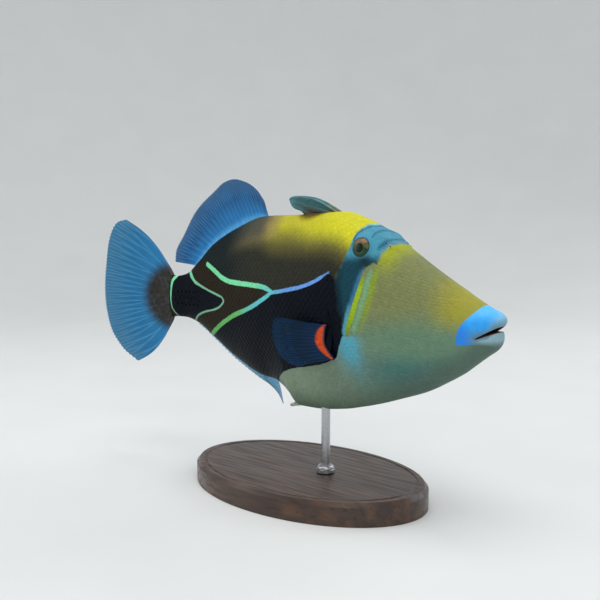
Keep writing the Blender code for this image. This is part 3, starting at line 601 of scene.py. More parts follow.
share_round = np.arange(SKIN_COLUMNS) / SKIN_COLUMNS * 2
skin_side = np.where(share_round <= 1, -1.0, 1.0)
skin_share = np.where(share_round <= 1, share_round, 2 - share_round)
mouth_turn = skin_side * turn_at(SNOUT_START, skin_share)
mouth_rings = [mouth_ring(mouth_turn, d, 1.0) for d in np.linspace(THROAT_DEPTH, 0.002, THROAT_RINGS)]
mouth_rings += [mouth_ring(mouth_turn, 0.0, s) for s in 1 - np.linspace(0, 1, LIP_RINGS) ** 1.15]
span_ends = [start for start, _ in SKIN_SPANS[1:]] + [1.0]
ring_t = [np.linspace(a, b, n, endpoint=False) for (a, n), b in zip(SKIN_SPANS, span_ends)]
ring_t = np.append(np.concatenate(ring_t), 1.0)[:, None]
body_rings = section(ring_t, skin_side * turn_at(ring_t, skin_share[None, :]), -SKIN_INSET)
skin_rings = np.concatenate([np.array(mouth_rings), body_rings])
rows = len(skin_rings)
# The lips' root is rounded off by averaging rings with their neighbours
for _ in range(6):
    softer = skin_rings.copy()
    softer[1:-1] = (skin_rings[:-2] + 2 * skin_rings[1:-1] + skin_rings[2:]) / 4
    near_root = hump((np.arange(rows) - len(mouth_rings)) / 7.0)[:, None, None]
    skin_rings = skin_rings + (softer - skin_rings) * near_root
skin_straight = skin_rings.reshape(-1, 3)
skin_points = placed(stalk_end(skin_straight))
for side, _ in SIDES:
    skin_points = skin_points + socket(skin_points, side)
    skin_points[:, 1] += side * gill_relief(skin_straight, side)
skin_ends = np.stack([skin_points[:SKIN_COLUMNS].mean(0), skin_points[-SKIN_COLUMNS:].mean(0)])
skin = mesh_piece(
    "skin",
    np.concatenate([skin_points, skin_ends]),
    grid_quads(rows, SKIN_COLUMNS, rings=True),
    end_fans(rows, SKIN_COLUMNS),
)


# Markings
# The painter's colours of the live fish, with painted shade low on the face, on the belly and in the back's
# groove, and a painted highlight on top of the lips, worked out for any point of its surface: soft tones
# blended one over another, and crisp strokes told as a distance to their edge. Skin, lids, pads and plates
# share them.
YELLOW = paint(206, 202, 44)
OLD_GOLD = paint(156, 146, 52)
OLIVE = paint(116, 114, 50)
DARK_OLIVE = paint(86, 80, 46)
GREY_BROWN = paint(44, 45, 36)
TAN = paint(158, 142, 78)
REAR_BROWN = paint(84, 82, 68)
GROOVE_SHADE = paint(80, 54, 18)
REAR_DARK = paint(24, 33, 33)
INK = paint(2, 9, 20)
BARK = paint(38, 31, 20)
TEAL_BAND = paint(22, 66, 80)
BROW_BLUE = paint(76, 150, 174)
BROW_FRONT = paint(84, 142, 166)
BROW_STRIPE = paint(34, 96, 128)
BROW_CYAN = paint(146, 218, 226)
UNDER_EYE_DARK = paint(24, 44, 50)
FACE_YELLOW = paint(160, 168, 44)
FACE_OLIVE = paint(126, 132, 86)
FACE_SAGE = paint(104, 136, 112)
# The lower face's teal and the chin's grey are partly their own colours and partly painted shade
FACE_SHADED_TEAL = paint(72, 118, 114)
CHIN_SHADED_GREY = paint(86, 108, 98)
SNOUT_GOLD = paint(156, 152, 62)
PALE_GREEN = paint(122, 168, 126)
SOFT_STRIPE = paint(138, 160, 48)
PALE_BLUE = paint(88, 162, 180)
# The belly's cream is darker and greener than the real one, partly as painted shade; the next, darker one is
# painted shade underneath and towards the front of the belly
CREAM = paint(134, 154, 132)
CREAM_SHADE = paint(104, 124, 106)
AZURE = paint(58, 166, 246)
# A painted highlight: the lips' paler azure along their top
AZURE_HIGHLIGHT = paint(96, 190, 250)
AZURE_DEEP = paint(52, 134, 228)
LIP_PALE = paint(140, 192, 216)
LIP_GREY = paint(100, 132, 144)
LOWER_LIP = paint(140, 172, 182)
THROAT_SHADE = paint(44, 40, 44)
MOUTH_FLESH = paint(96, 54, 44)
MINT = paint(128, 228, 170)
LEAF = paint(104, 182, 104)
AQUA = paint(104, 200, 206)
SKY = paint(108, 160, 232)
LIME = paint(150, 182, 40)
LINE_BLUE = paint(54, 112, 152)
WEDGE_LINE = paint(128, 186, 156)

# Front and rear borders of the blue brow, as t against the arc down from the back's middle line
BROW_FRONT_EDGE = (
    (0.0, 0.258), (0.020, 0.256), (0.034, 0.260), (0.053, 0.263), (0.068, 0.269), (0.096, 0.274),
)
BROW_REAR_EDGE = ((0.0, 0.330), (0.035, 0.329), (0.053, 0.335), (0.067, 0.340), (0.092, 0.343))
# Front and rear borders of the teal band under the eye, as t against height
BAND_FRONT_EDGE = (
    (-0.040, 0.349), (-0.023, 0.347), (-0.006, 0.344), (0.012, 0.339), (0.029, 0.330), (0.047, 0.3265),
    (0.064, 0.322), (0.088, 0.314), (0.100, 0.305), (0.111, 0.291), (0.119, 0.280), (0.126, 0.274),
)
BAND_REAR_EDGE = (
    (-0.110, 0.392), (-0.095, 0.377), (-0.076, 0.369), (-0.058, 0.361), (-0.031, 0.351), (-0.017, 0.353),
    (0.003, 0.363), (0.024, 0.368), (0.045, 0.371), (0.065, 0.376), (0.090, 0.371), (0.120, 0.357),
    (0.150, 0.344),
)
# Where the brow's borders, told by the arc, give way to the band's, told by the height
BROW_FRONT_DEPTH = 0.098
BROW_REAR_HEIGHT = 0.148
# How wide a pale strip runs behind the band's rear border, down on the throat
STRIP_WIDTH = 0.02
# The top of the cream belly, as height against t
BELLY_EDGE = (
    (0.290, -0.112), (0.330, -0.100), (0.386, -0.104), (0.415, -0.115), (0.446, -0.124), (0.478, -0.131),
    (0.511, -0.138), (0.538, -0.146), (0.560, -0.156), (0.593, -0.178), (0.620, -0.215),
)
# The top of the black flank ahead of and behind the place where the forked line's arms meet, and the top
# of the brown field between its rear arms, as height against t
ARMS_MEET = 0.576
FRONT_ROOF = ((0.36, 0.050), (0.395, 0.090), (0.433, 0.072), (0.485, 0.054), (0.546, 0.042), (0.576, 0.038))
REAR_ROOF = ((0.576, 0.038), (0.637, 0.005), (0.724, -0.028), (0.818, -0.074), (0.90, -0.12))
FORK_TOP = ((0.576, 0.038), (0.616, 0.049), (0.701, 0.052), (0.783, 0.062), (0.852, 0.095), (0.90, 0.13))
# The rear border of the lips' blue as t against height, its lower border and the mouth as height against t
LIP_REAR = (
    (-0.050, 0.078), (-0.042, 0.088), (-0.029, 0.087), (-0.012, 0.083), (0.004, 0.073), (0.019, 0.060),
    (0.031, 0.050), (0.040, 0.044),
)
LIP_FLOOR = ((0.0, -0.050), (0.034, -0.042), (0.051, -0.041), (0.067, -0.043), (0.09, -0.045))
MOUTH_LINE = (
    (0.0, -0.010), (0.012, -0.011), (0.020, -0.015), (0.031, -0.025), (0.049, -0.030), (0.062, -0.034),
)
# Strokes: t, height and half width along each
UPPER_ARM = (
    (0.574, 0.037, 0.0050), (0.592, 0.044, 0.0055), (0.616, 0.049, 0.0060), (0.657, 0.051, 0.0060),
    (0.701, 0.052, 0.0062), (0.746, 0.054, 0.0062), (0.783, 0.062, 0.0062), (0.820, 0.080, 0.0060),
    (0.852, 0.095, 0.0056),
)
LOWER_ARM = (
    (0.576, 0.038, 0.0045), (0.606, 0.021, 0.0052), (0.637, 0.005, 0.0055), (0.674, -0.011, 0.0056),
    (0.724, -0.028, 0.0058), (0.775, -0.050, 0.0058), (0.818, -0.074, 0.0056), (0.846, -0.090, 0.0052),
)
FORWARD_ARM = (
    (0.580, 0.037, 0.0045), (0.546, 0.042, 0.0044), (0.515, 0.048, 0.0046), (0.485, 0.054, 0.0046),
    (0.458, 0.062, 0.0044), (0.433, 0.072, 0.0040), (0.414, 0.082, 0.0034), (0.395, 0.094, 0.0014),
)
WEDGE_STROKE = (
    (0.934, 0.083, 0.0046), (0.918, 0.066, 0.0046), (0.898, 0.048, 0.0040), (0.874, 0.038, 0.0032),
    (0.840, 0.027, 0.0028), (0.805, 0.018, 0.0027), (0.782, 0.012, 0.0027), (0.774, 0.004, 0.0027),
    (0.786, -0.009, 0.0027), (0.817, -0.022, 0.0027), (0.851, -0.029, 0.0026), (0.883, -0.040, 0.0026),
    (0.906, -0.057, 0.0024), (0.916, -0.067, 0.0022),
)
TAIL_BAR = (
    (0.972, 0.062, 0.0046), (0.986, 0.044, 0.0046), (0.990, 0.022, 0.0040), (0.992, -0.003, 0.0032),
    (0.989, -0.022, 0.0024), (0.979, -0.037, 0.0018), (0.966, -0.052, 0.0014),
)
BRIGHT_STRIPE = (
    (0.301, 0.088, 0.0016), (0.304, 0.079, 0.0036), (0.309, 0.062, 0.0054), (0.314, 0.046, 0.0060),
    (0.320, 0.027, 0.0062), (0.326, 0.008, 0.0062), (0.332, -0.010, 0.0060), (0.338, -0.023, 0.0054),
    (0.341, -0.039, 0.0038), (0.343, -0.049, 0.0018), (0.3435, -0.053, 0.0010),
)
THIN_BLUE = (
    (0.304, 0.104, 0.0016), (0.311, 0.092, 0.0040), (0.319, 0.066, 0.0056), (0.3245, 0.047, 0.0056),
    (0.331, 0.029, 0.0052), (0.338, 0.012, 0.0050), (0.343, -0.006, 0.0048), (0.347, -0.023, 0.0050),
    (0.350, -0.040, 0.0056),
)
SOFT_STRIPE_PATH = (
    (0.271, 0.100, 0.004), (0.277, 0.075, 0.007), (0.283, 0.046, 0.008), (0.292, 0.017, 0.008),
    (0.300, -0.008, 0.006), (0.306, -0.030, 0.003),
)
PALE_GREEN_PATH = (
    (0.286, 0.098, 0.004), (0.293, 0.068, 0.007), (0.299, 0.039, 0.007), (0.307, 0.014, 0.007),
    (0.316, -0.009, 0.006), (0.325, -0.032, 0.004),
)
# Dark lines over the brow: t, arc down from the back's middle line, and half width
BROW_LINES = (
    ((0.339, 0.080, 0.0022), (0.337, 0.066, 0.0026), (0.332, 0.054, 0.0026), (0.326, 0.042, 0.0024),
     (0.322, 0.024, 0.0024), (0.321, 0.0, 0.0024)),
    ((0.297, 0.056, 0.0012), (0.296, 0.043, 0.0022), (0.300, 0.021, 0.0026), (0.305, 0.0, 0.0026)),
    ((0.279, 0.066, 0.0014), (0.275, 0.055, 0.0028), (0.271, 0.045, 0.0028), (0.270, 0.030, 0.0026),
     (0.271, 0.012, 0.0026), (0.272, 0.0, 0.0026)),
)
# The colours along each crisp stroke, and along each line that parts two fields
STROKE_COLOURS = (
    (UPPER_ARM, (AQUA, MINT, MINT, MINT, MINT * 0.9)),
    (BRIGHT_STRIPE, (LIME * 0.7, LIME, LIME, LIME, LIME * 0.8, OLIVE)),
)
FLANK_LINES = (
    (FORWARD_ARM, (AQUA, SKY, SKY, SKY, SKY * 0.8)),
    (LOWER_ARM, (AQUA, AQUA, LEAF * 1.1, LEAF, LEAF * 0.9)),
)
STALK_LINES = (
    (WEDGE_STROKE, (MINT, WEDGE_LINE, WEDGE_LINE, WEDGE_LINE, WEDGE_LINE * 0.7)),
    (TAIL_BAR, (MINT, MINT, MINT * 0.85, WEDGE_LINE, WEDGE_LINE * 0.7)),
)
THIN_BLUE_COLOURS = (LINE_BLUE * 0.8, LINE_BLUE, LINE_BLUE, PALE_BLUE, PALE_BLUE)
STROKE_POINTS = 90
# How many of the skin's rings line the mouth
MOUTH_RINGS = 14
# The arc down at the points that close the skin, in the throat and at the tail fin's root
END_DOWN = (0.1, 0.06)


def along_path(path, count):
    """Points evenly spaced on the smooth curve through a path, each column read by the chord's length."""
    path = np.asarray(path, float)
    chord = np.concatenate([[0], np.cumsum(np.linalg.norm(np.diff(path[:, :2], axis=0), axis=1))])
    places = np.linspace(0, chord[-1], count)
    return np.stack([between(chord, column, places) for column in path.T], -1)


def stroke_distance(at, path, reach=0.03):
    """Distance from points to a stroke's edge, negative inside it, and the share along the stroke.

    The nearest point on each short straight run of the stroke gives both, and the half width there is
    taken off. Points farther off than reach keep a large distance.
    """
    line = along_path(path, STROKE_POINTS)
    distance, share = np.full(len(at), 1.0), np.zeros(len(at))
    low, high = line[:, :2].min(0) - reach, line[:, :2].max(0) + reach
    near = np.flatnonzero(((at > low) & (at < high)).all(1))
    start, run = line[:-1, :2], np.diff(line[:, :2], axis=0)
    for part in np.array_split(near, max(1, len(near) // 20000)):
        offset = at[part][:, None, :] - start[None]
        hit = np.clip((offset * run).sum(-1) / (run**2).sum(-1), 0, 1)
        gap = np.linalg.norm(offset - hit[..., None] * run, axis=-1)
        gap -= line[:-1, 2] * (1 - hit) + line[1:, 2] * hit
        best = gap.argmin(1)
        pick = np.arange(len(part))
        distance[part] = gap[pick, best]
        share[part] = (best + hit[pick, best]) / (len(line) - 1)
    return distance, share


def over(tone, colour, amount):
    """A colour laid over the tones by an amount from 0 to 1 at each point."""
    return tone + (np.asarray(colour) - tone) * np.asarray(amount)[..., None]


def coats(ground, *layers):
    """A ground colour with others laid over it in turn, each as a colour and its amount."""
    for colour, amount in layers:
        ground = over(ground, colour, amount)
    return ground


def border(path, at):
    """The smooth curve through a border's points, read at places held within its ends."""
    xs, ys = zip(*path)
    return between(xs, ys, np.clip(at, xs[0], xs[-1]))


def shaded(colours, share):
    """Colours spread evenly along 0 to 1, read at each share."""
    places = np.linspace(0, 1, len(colours))
    return np.stack([np.interp(share, places, channel) for channel in np.array(colours).T], -1)


class Chart:
    """Where points of the surface lie, by the measures and borders that the painter goes by."""

    def __init__(self, points, down):
        self.t, self.y, self.z = t, _, z = points.T
        self.down = down
        self.flat = points[:, [0, 2]]
        on_body = np.clip(t, 0.0, 1.0)
        self.below = station(on_body, 1) - z
        self.over_belly = z - station(on_body, 2)
        self.brow_front = border(BROW_FRONT_EDGE, down)
        rear = np.where(z > BROW_REAR_HEIGHT, border(BROW_REAR_EDGE, down), border(BAND_REAR_EDGE, z))
        self.past_band = t - rear
        self.strip = STRIP_WIDTH * smooth_step(-z, 0.038, 0.052)
        self.roof = np.where(t < ARMS_MEET, border(FRONT_ROOF, t), border(REAR_ROOF, t))
        self.belly_top = border(BELLY_EDGE, t)
        self.past_bar = t - border([(bar_z, bar_t) for bar_t, bar_z, _ in TAIL_BAR[::-1]], z)


def face_paint(at):
    """Gold on profile and snout, olive cheek, sage below, teal and chin grey partly painted shade, two soft
    stripes.
    """
    green, _ = stroke_distance(at.flat, PALE_GREEN_PATH)
    stripe, along = stroke_distance(at.flat, SOFT_STRIPE_PATH)
    return coats(
        FACE_OLIVE,
        (FACE_SAGE, smooth_step(-at.z - 0.15 * (at.t - 0.2), -0.040, 0.045)),
        (FACE_SHADED_TEAL, smooth_step(-at.z, 0.06, 0.115)),
        (CHIN_SHADED_GREY, smooth_step(at.over_belly, 0.075, 0.015)),
        (SNOUT_GOLD, smooth_step(at.t, 0.17, 0.09) * smooth_step(at.z, -0.035, 0.02)),
        (FACE_YELLOW, smooth_step(at.brow_front - at.t, 0.050, 0.004) * smooth_step(at.down, 0.12, 0.06)),
        (PALE_GREEN, smooth_step(green, 0.006, -0.006)),
        (SOFT_STRIPE, smooth_step(stripe, 0.006, -0.006) * (1 - 0.5 * along)),
    )


def trunk_paint(at):
    """Yellow back through olive to grey brown on the flank, dark towards the tail, and painted shade in the
    groove.
    """
    low = at.below + 0.022 * smooth_step(at.t, 0.58, 0.66) + 0.004
    forward = smooth_step(at.t, 0.55, 0.45)
    groove = smooth_step(np.hypot((at.t - 0.502) / 0.056, at.y / 0.036), 1.05, 0.55)
    return coats(
        YELLOW,
        (OLD_GOLD, smooth_step(at.t, 0.38, 0.55) * 0.5),
        (OLIVE, smooth_step(low - 0.015 * forward, 0.022, 0.070)),
        (DARK_OLIVE, smooth_step(low - 0.010 * forward, 0.060, 0.090)),
        (GREY_BROWN, smooth_step(low - 0.004 * forward, 0.080, 0.120)),
        (TAN, smooth_step(at.t, 0.570, 0.615) * smooth_step(at.below, 0.075, 0.030)),
        (REAR_BROWN, smooth_step(at.t, 0.605, 0.660) * smooth_step(at.below, 0.090, 0.035)),
        (REAR_DARK, smooth_step(at.t, 0.660, 0.790)),
        # Painted shade: dark brown in the groove on the back where the first dorsal fin folds down
        (GROOVE_SHADE, groove * smooth_step(at.below, 0.030, 0.020) * 0.92),
    )


def flank_ink(at):
    """The black flank under the forked line, from the band under the eye back to the anal fin."""
    behind = at.past_band + 0.45 * at.strip
    return smooth_step(at.roof - at.z, -0.003, 0.004) * smooth_step(behind, -0.003, 0.001)


def fork_brown(at):
    """The brown field between the rear arms of the forked line."""
    over_roof = smooth_step(at.z - at.roof, 0.0, 0.006) * smooth_step(at.t, 0.60, 0.63)
    return over_roof * smooth_step(border(FORK_TOP, at.t) - at.z, -0.004, 0.002)


def wedge_ink(at):
    """The black wedge on the tail stalk, between the upper and lower runs of its stroke."""
    path = np.array(WEDGE_STROKE)[:, :2]
    tip = path[:, 0].argmin()
    top, low = border(path[tip::-1], at.t), border(path[tip:], at.t)
    inside = smooth_step(top - at.z, -0.001, 0.001) * smooth_step(at.z - low, -0.001, 0.001)
    return np.where(at.t > path[0, 0], 1.0, inside) * (at.t > path[tip, 0])


def brow_paint(at):
    """Blue over the eye with dark lines, teal in the band under it, and ink where that meets the flank."""
    over_back = np.stack([at.t, at.down], -1)
    dark = [smooth_step(stroke_distance(over_back, line)[0], 0.0022, -0.0022) * 0.9 for line in BROW_LINES]
    return coats(
        BROW_BLUE,
        (BROW_FRONT, smooth_step(at.t, 0.285, 0.262)),
        (BROW_CYAN, hump((at.t - 0.333) / 0.010, at.down / 0.030)),
        *((BROW_STRIPE, amount) for amount in dark),
        (TEAL_BAND, smooth_step(at.z, 0.140, 0.112)),
        # A darker patch under the eye
        (UNDER_EYE_DARK, hump((at.t - 0.303) / 0.018, (at.z - 0.119) / 0.011) * 0.9),
        (INK, smooth_step(-at.past_band, 0.026, 0.0) * smooth_step(at.z, 0.115, 0.05) * 0.75),
    )


def brow_field(at):
    """The brow and the band under the eye, between their front and rear borders."""
    front = np.where(at.down < BROW_FRONT_DEPTH, at.brow_front, border(BAND_FRONT_EDGE, at.z))
    band = smooth_step(at.t - front, -0.0015, 0.0015) * smooth_step(-at.past_band, -0.0025, 0.0015)
    return band * smooth_step(at.z, -0.050, -0.030)


def belly_paint(at, face):
    """Cream, greener underneath and ahead with painted shade, pale blue by the band, faint over the face's
    colours.
    """
    patch = hump((at.t - 0.342 - 0.2 * (at.z + 0.07)) / 0.034, np.clip(-0.066 - at.z, 0, 1) / 0.050)
    cream = coats(
        CREAM,
        (CREAM_SHADE, smooth_step(at.over_belly, 0.06, 0.0)),
        (CREAM_SHADE, smooth_step(at.t, 0.50, 0.38) * 0.6),
    )
    return coats(
        face,
        (cream, smooth_step(at.t, 0.20, 0.40)),
        (PALE_BLUE, np.clip(1.3 * patch, 0, 1) * smooth_step(at.t, 0.27, 0.33)),
    )


def belly_field(at):
    """The belly under the flank, and the throat ahead of the band's rear border."""
    ahead = smooth_step(at.z, -0.036, -0.052) * (at.past_band < 0.002)
    ahead = ahead * smooth_step(-at.past_band, 0.004, 0.012)
    under = smooth_step(at.belly_top - at.z, 0.005, 0.012) * smooth_step(at.t, 0.625, 0.600)
    return np.maximum(ahead, under)


def soft_tone(at, face, belly):
    """All the soft colours, laid one over another from the face back and down."""
    thin_blue, along = stroke_distance(at.flat, THIN_BLUE)
    return coats(
        face,
        (BARK, smooth_step(at.t, 0.97, 0.99)),
        (trunk_paint(at), smooth_step(at.past_band, -0.0015, 0.0025)),
        (BARK, fork_brown(at)),
        (INK, flank_ink(at)),
        (INK, wedge_ink(at)),
        (BARK, smooth_step(at.past_bar, -0.001, 0.001)),
        (brow_paint(at), brow_field(at)),
        (shaded(THIN_BLUE_COLOURS, along), smooth_step(thin_blue, 0.0025, -0.0035)),
        (belly, belly_field(at)),
    )


def belly_edge(at):
    """The way out of the belly and throat over their crisp border, below 0 inside."""
    behind = np.minimum(at.belly_top - at.z, at.past_band + 0.004)
    ahead = np.minimum(-at.past_band, at.strip + at.past_band) - 0.15 * (STRIP_WIDTH - at.strip)
    inside = np.maximum(np.minimum(behind, 0.62 - at.t), ahead)
    return -0.9 * np.where((at.t > 0.30) & (at.t < 0.64), inside, -1.0)


def lip_edge(at):
    """The way out of the lips' blue, below 0 inside."""
    return np.maximum(at.t - border(LIP_REAR, at.z), border(LIP_FLOOR, at.t) - at.z) * 0.9


def lip_paint(at):
    """Azure lips, painted highlight above, paler in front, deeper at corners, grey by the mouth, painted
    shade at the chin.
    """
    over_mouth = at.z - border(MOUTH_LINE, at.t)
    return coats(
        AZURE,
        (AZURE_HIGHLIGHT, smooth_step(at.z, 0.0, 0.026)),
        (AZURE_DEEP, smooth_step(at.t - 0.5 * at.z, 0.060, 0.085) * smooth_step(at.z, 0.016, -0.02)),
        (LIP_PALE, smooth_step(at.t + 0.4 * at.z, 0.034, 0.004)),
        (LIP_GREY, smooth_step(np.abs(over_mouth), 0.024, 0.004) * smooth_step(at.t, 0.074, 0.050) * 0.9),
        (LOWER_LIP, smooth_step(-over_mouth, 0.001, 0.006) * smooth_step(at.t, 0.062, 0.036)),
        (CHIN_SHADED_GREY, smooth_step(at.z, -0.030, -0.044) * smooth_step(at.t, 0.064, 0.046) * 0.85),
    )


def crisp_paint(at, belly):
    """The colour of the nearest crisp field or stroke at each point, and the distance to its edge."""
    fields = [(belly_edge(at), belly)]
    for path, colours in STROKE_COLOURS:
        gap, along = stroke_distance(at.flat, path)
        fields.append((gap, shaded(colours, along)))
    fields.append((lip_edge(at), lip_paint(at)))
    edge, bright = np.full(len(at.t), 1.0), np.zeros((len(at.t), 3))
    for gap, colour in fields:
        nearer = gap < edge
        edge = np.where(nearer, gap, edge)
        bright = np.where(nearer[:, None], colour, bright)
    return edge, bright


def parting_lines(at, edge, bright):
    """The lines that part two fields, laid over the crisp paint.

    Such a line is told as the way from its middle, below 0 in the field under or within it, and its half
    width, which falls off fast beyond its ends.
    """
    way, half_width = np.full(len(at.t), 0.1), np.full(len(at.t), -0.3)
    in_stalk = (wedge_ink(at) > 0.5) & (at.past_bar < 0)
    for lines, inner in ((FLANK_LINES, at.z < at.roof), (STALK_LINES, in_stalk)):
        for path, colours in lines:
            gap, along = stroke_distance(at.flat, path)
            half = np.interp(along, np.linspace(0, 1, STROKE_POINTS), along_path(path, STROKE_POINTS)[:, 2])
            beyond = ((along <= 0) | (along >= 1)) & (gap > 0)
            nearer = gap + half < np.abs(way)
            way = np.where(nearer, np.where(inner, -1, 1) * (gap + half), way)
            half_width = np.where(nearer, np.where(beyond, half - 3 * gap, half), half_width)
            bright = np.where((nearer & (gap < edge))[:, None], shaded(colours, along), bright)
    return way, half_width, bright


def markings(points, down):
    """The paint at points of the straight frame: soft tone, crisp colour, distance to the nearest crisp edge,
    and the way from the nearest parting line and its half width, in millimetres.

    down is the arc from the back's middle line.
    """
    at = Chart(points, down)
    face = face_paint(at)
    belly = belly_paint(at, face)
    edge, bright = crisp_paint(at, belly)
    way, half_width, bright = parting_lines(at, edge, bright)
    return {
        "tone": soft_tone(at, face, belly),
        "bright": bright,
        "edge": edge / MILLIMETRE,
        "line_way": way / MILLIMETRE,
        "line_half": half_width / MILLIMETRE,
    }


def put_values(piece, **named):
    """Stores values or colours for the piece's points, each under its name."""
    for name, values in named.items():
        values = np.asarray(values, np.float32)
        if values.ndim == 1:
            attribute = piece.data.attributes.new(name, "FLOAT", "POINT")
            attribute.data.foreach_set("value", values)
        else:
            attribute = piece.data.attributes.new(name, "FLOAT_COLOR", "POINT")
            full = np.concatenate([values, np.ones((len(values), 1), np.float32)], 1)
            attribute.data.foreach_set("color", full.ravel())


def put_uv(piece, name, places):
    """Gives the piece a UV map from one place for each of its points."""
    layer = piece.data.uv_layers.new(name=name)
    corners = np.empty(len(piece.data.loops), np.int32)
    piece.data.loops.foreach_get("vertex_index", corners)
    layer.data.foreach_set("uv", np.asarray(places, np.float32)[corners].ravel())


on_trunk = np.clip(skin_rings[..., 0], SNOUT_START, 1.0)
skin_down = (skin_share[None, :] * half_girth(on_trunk)).ravel()
end_points = skin_rings[[0, -1]].mean(1)
skin_paint = markings(np.concatenate([skin_straight, end_points]), np.append(skin_down, END_DOWN))
# The mouth's inside darkens from flesh to black over its rings, and so does its end point: the black deep in
# the throat is painted shade
ring_number = np.repeat(np.arange(rows), SKIN_COLUMNS)
in_mouth = np.append(np.clip((MOUTH_RINGS - ring_number) / MOUTH_RINGS, 0, 1), (1.0, 0.0))
skin_paint["bright"] = coats(
    skin_paint["bright"],
    (MOUTH_FLESH, smooth_step(in_mouth, 0.0, 0.15)),
    (THROAT_SHADE * 0.3, smooth_step(in_mouth, 0.10, 0.5)),
)
put_values(skin, **skin_paint)
# The skin's map counts steps along it, from the snout, and down it, from an arc on the flank
LIE_LONG, LIE_TALL, LIE_START = 65.0, 80.0, 0.2
skin_lie = np.stack([skin_straight[:, 0] * LIE_LONG, (skin_down - LIE_START) * LIE_TALL], -1)
put_uv(skin, "lie", np.concatenate([skin_lie, [[0.0, 0.0], [LIE_LONG, 0.0]]]))


def painted_hide(name, plate_variation):
    """The painted hide's finish: tones and strokes from the mesh, mottled a little, under a thin varnish.

    A stroke shows where the distance to its edge, or to the nearest parting line's, is below 0.
    """
    hide = Finish(
        name, 0.45, Specular_IOR_Level=0.06, Coat_Weight=0.03, Coat_Roughness=0.20, Subsurface_Weight=0.06
    )
    hide.shader.inputs["Subsurface Radius"].default_value = (0.0012, 0.0009, 0.0006)
    spots = hide.places()
    mottle = hide.noise(spots, 420.0, 4.0, 0.6)
    grain = hide.noise(spots, 2600.0, 2.0, 0.6)
    line_way = hide.maths("ABSOLUTE", hide.value("line_way"))
    line_edge = hide.maths("SUBTRACT", line_way, hide.value("line_half"))
    edge = hide.maths("MINIMUM", hide.value("edge"), line_edge)
    edge = hide.maths("ADD", edge, hide.ramp(mottle, 0.3, 0.7, -0.12, 0.12))
    stroke = hide.ramp(edge, -0.22, 0.22, 1.0, 0.0)
    colour = hide.mixed(stroke, hide.value("tone", "Color"), hide.value("bright", "Color"))
    speckle = hide.ramp(grain, 0.25, 0.75, 0.90, 1.10, "LINEAR")
    patchy = hide.ramp(mottle, 0.25, 0.75, 0.93, 1.07, "LINEAR")
    shade = hide.maths("MULTIPLY", speckle, patchy)
    if plate_variation:
        shade = hide.maths("MULTIPLY", shade, hide.value("plate"))
    grey = hide.node("CombineColor", {0: shade, 1: shade, 2: shade}).outputs[0]
    colour = hide.mixed(1.0, colour, grey, "MULTIPLY")
    hide.textured(grain, (0.36, 0.54), 0.00005, 0.6, hide.bump(mottle, 0.00012, 0.35))
    hide.join(Base_Color=colour)
    return hide


hide_finish = painted_hide("painted_hide", False)
hide_finish.on(skin)
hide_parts("head", "trunk", "tail_stalk")
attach(skin, "root")


# Scale plates
# Small bony plates set edge to edge in slanting rows, as this family has in place of thin scales. They are
# finer on the face, larger on the trunk and small again on the tail stalk, each domed with bevelled sides.
PLATE_SETS = (("face", 0.0, 0.355, "head_skin"), ("flank", 0.355, 1.0, "trunk_skin"))
# A plate's length and height in millimetres, against t
PLATE_LONG = ((0.085, 1.9), (0.20, 2.1), (0.30, 2.4), (0.42, 2.9), (0.75, 2.8), (0.90, 2.0), (1.0, 1.7))
PLATE_TALL = ((0.085, 1.25), (0.20, 1.35), (0.30, 1.5), (0.42, 1.85), (0.75, 1.75), (0.90, 1.3), (1.0, 1.2))
# How far a plate's upper and lower edges rise to a point: 0 gives a brick and 0.5 a diamond
PLATE_POINT = ((0.085, 0.10), (0.30, 0.14), (0.40, 0.34), (1.0, 0.38))
PLATE_HEIGHT = 0.042 * MILLIMETRE
PLATE_SUNK = 0.026 * MILLIMETRE
PLATE_UNDER = 0.35 * MILLIMETRE
PLATE_FILL = 0.98
PLATE_STEPS = np.array([-1.0, -0.78, 0.0, 0.78, 1.0])
PLATE_PATCH = 0.003
PLATE_ROWS = 60
# Where no plate lies: the lips as t against height, round the eye in metres, along the gill slit, under the
# pectoral fin's pad, in the first dorsal fin's groove and at the roots of the second dorsal and anal fins
LIP_CLEAR = ((-0.060, 0.104), (-0.042, 0.104), (-0.012, 0.098), (0.019, 0.094), (0.040, 0.094))
EYE_CLEAR = 0.0068
SLIT_CLEAR = ((0.3795, 0.3975), (-0.030, 0.018))
PAD_CLEAR = ((0.400, 0.016), (-0.062, 0.042))
GROOVE_CLEAR = ((0.405, 0.560), 0.012, 0.2)
FIN_CLEAR = ((0.64, 0.92), 0.010)

lattice_t = np.linspace(SNOUT_START, 1.0, 600)
lattice_long = between(*zip(*PLATE_LONG), lattice_t) * MILLIMETRE
lattice_count = np.concatenate([[0], np.cumsum(np.diff(lattice_t) / lattice_long[1:])])


def within(value, ends):
    """True between two ends."""
    return (value > ends[0]) & (value < ends[1])


def is_bare(points, side):
    """True at points of the straight frame where no plate lies."""
    t, y, z = points.T
    across, up, _, centre = eye_axes(side)
    offset = placed(points) - centre
    (pad_t, pad_long), (pad_z, pad_high) = PAD_CLEAR
    bare = t <= np.interp(z, *zip(*LIP_CLEAR))
    bare |= np.hypot(offset @ across, offset @ up) <= EYE_CLEAR
    bare |= within(t, SLIT_CLEAR[0]) & within(z, SLIT_CLEAR[1])
    bare |= ((t - pad_t) / pad_long) ** 2 + ((z - pad_z) / pad_high) ** 2 < 1
    bare |= within(t, GROOVE_CLEAR[0]) & (np.abs(y) < GROOVE_CLEAR[1]) & (z > GROOVE_CLEAR[2])
    bare |= within(t, FIN_CLEAR[0]) & (np.abs(y) < FIN_CLEAR[1])
    return bare


def plate_tall(t):
    """A plate's height at t."""
    return between(*zip(*PLATE_TALL), t) * MILLIMETRE


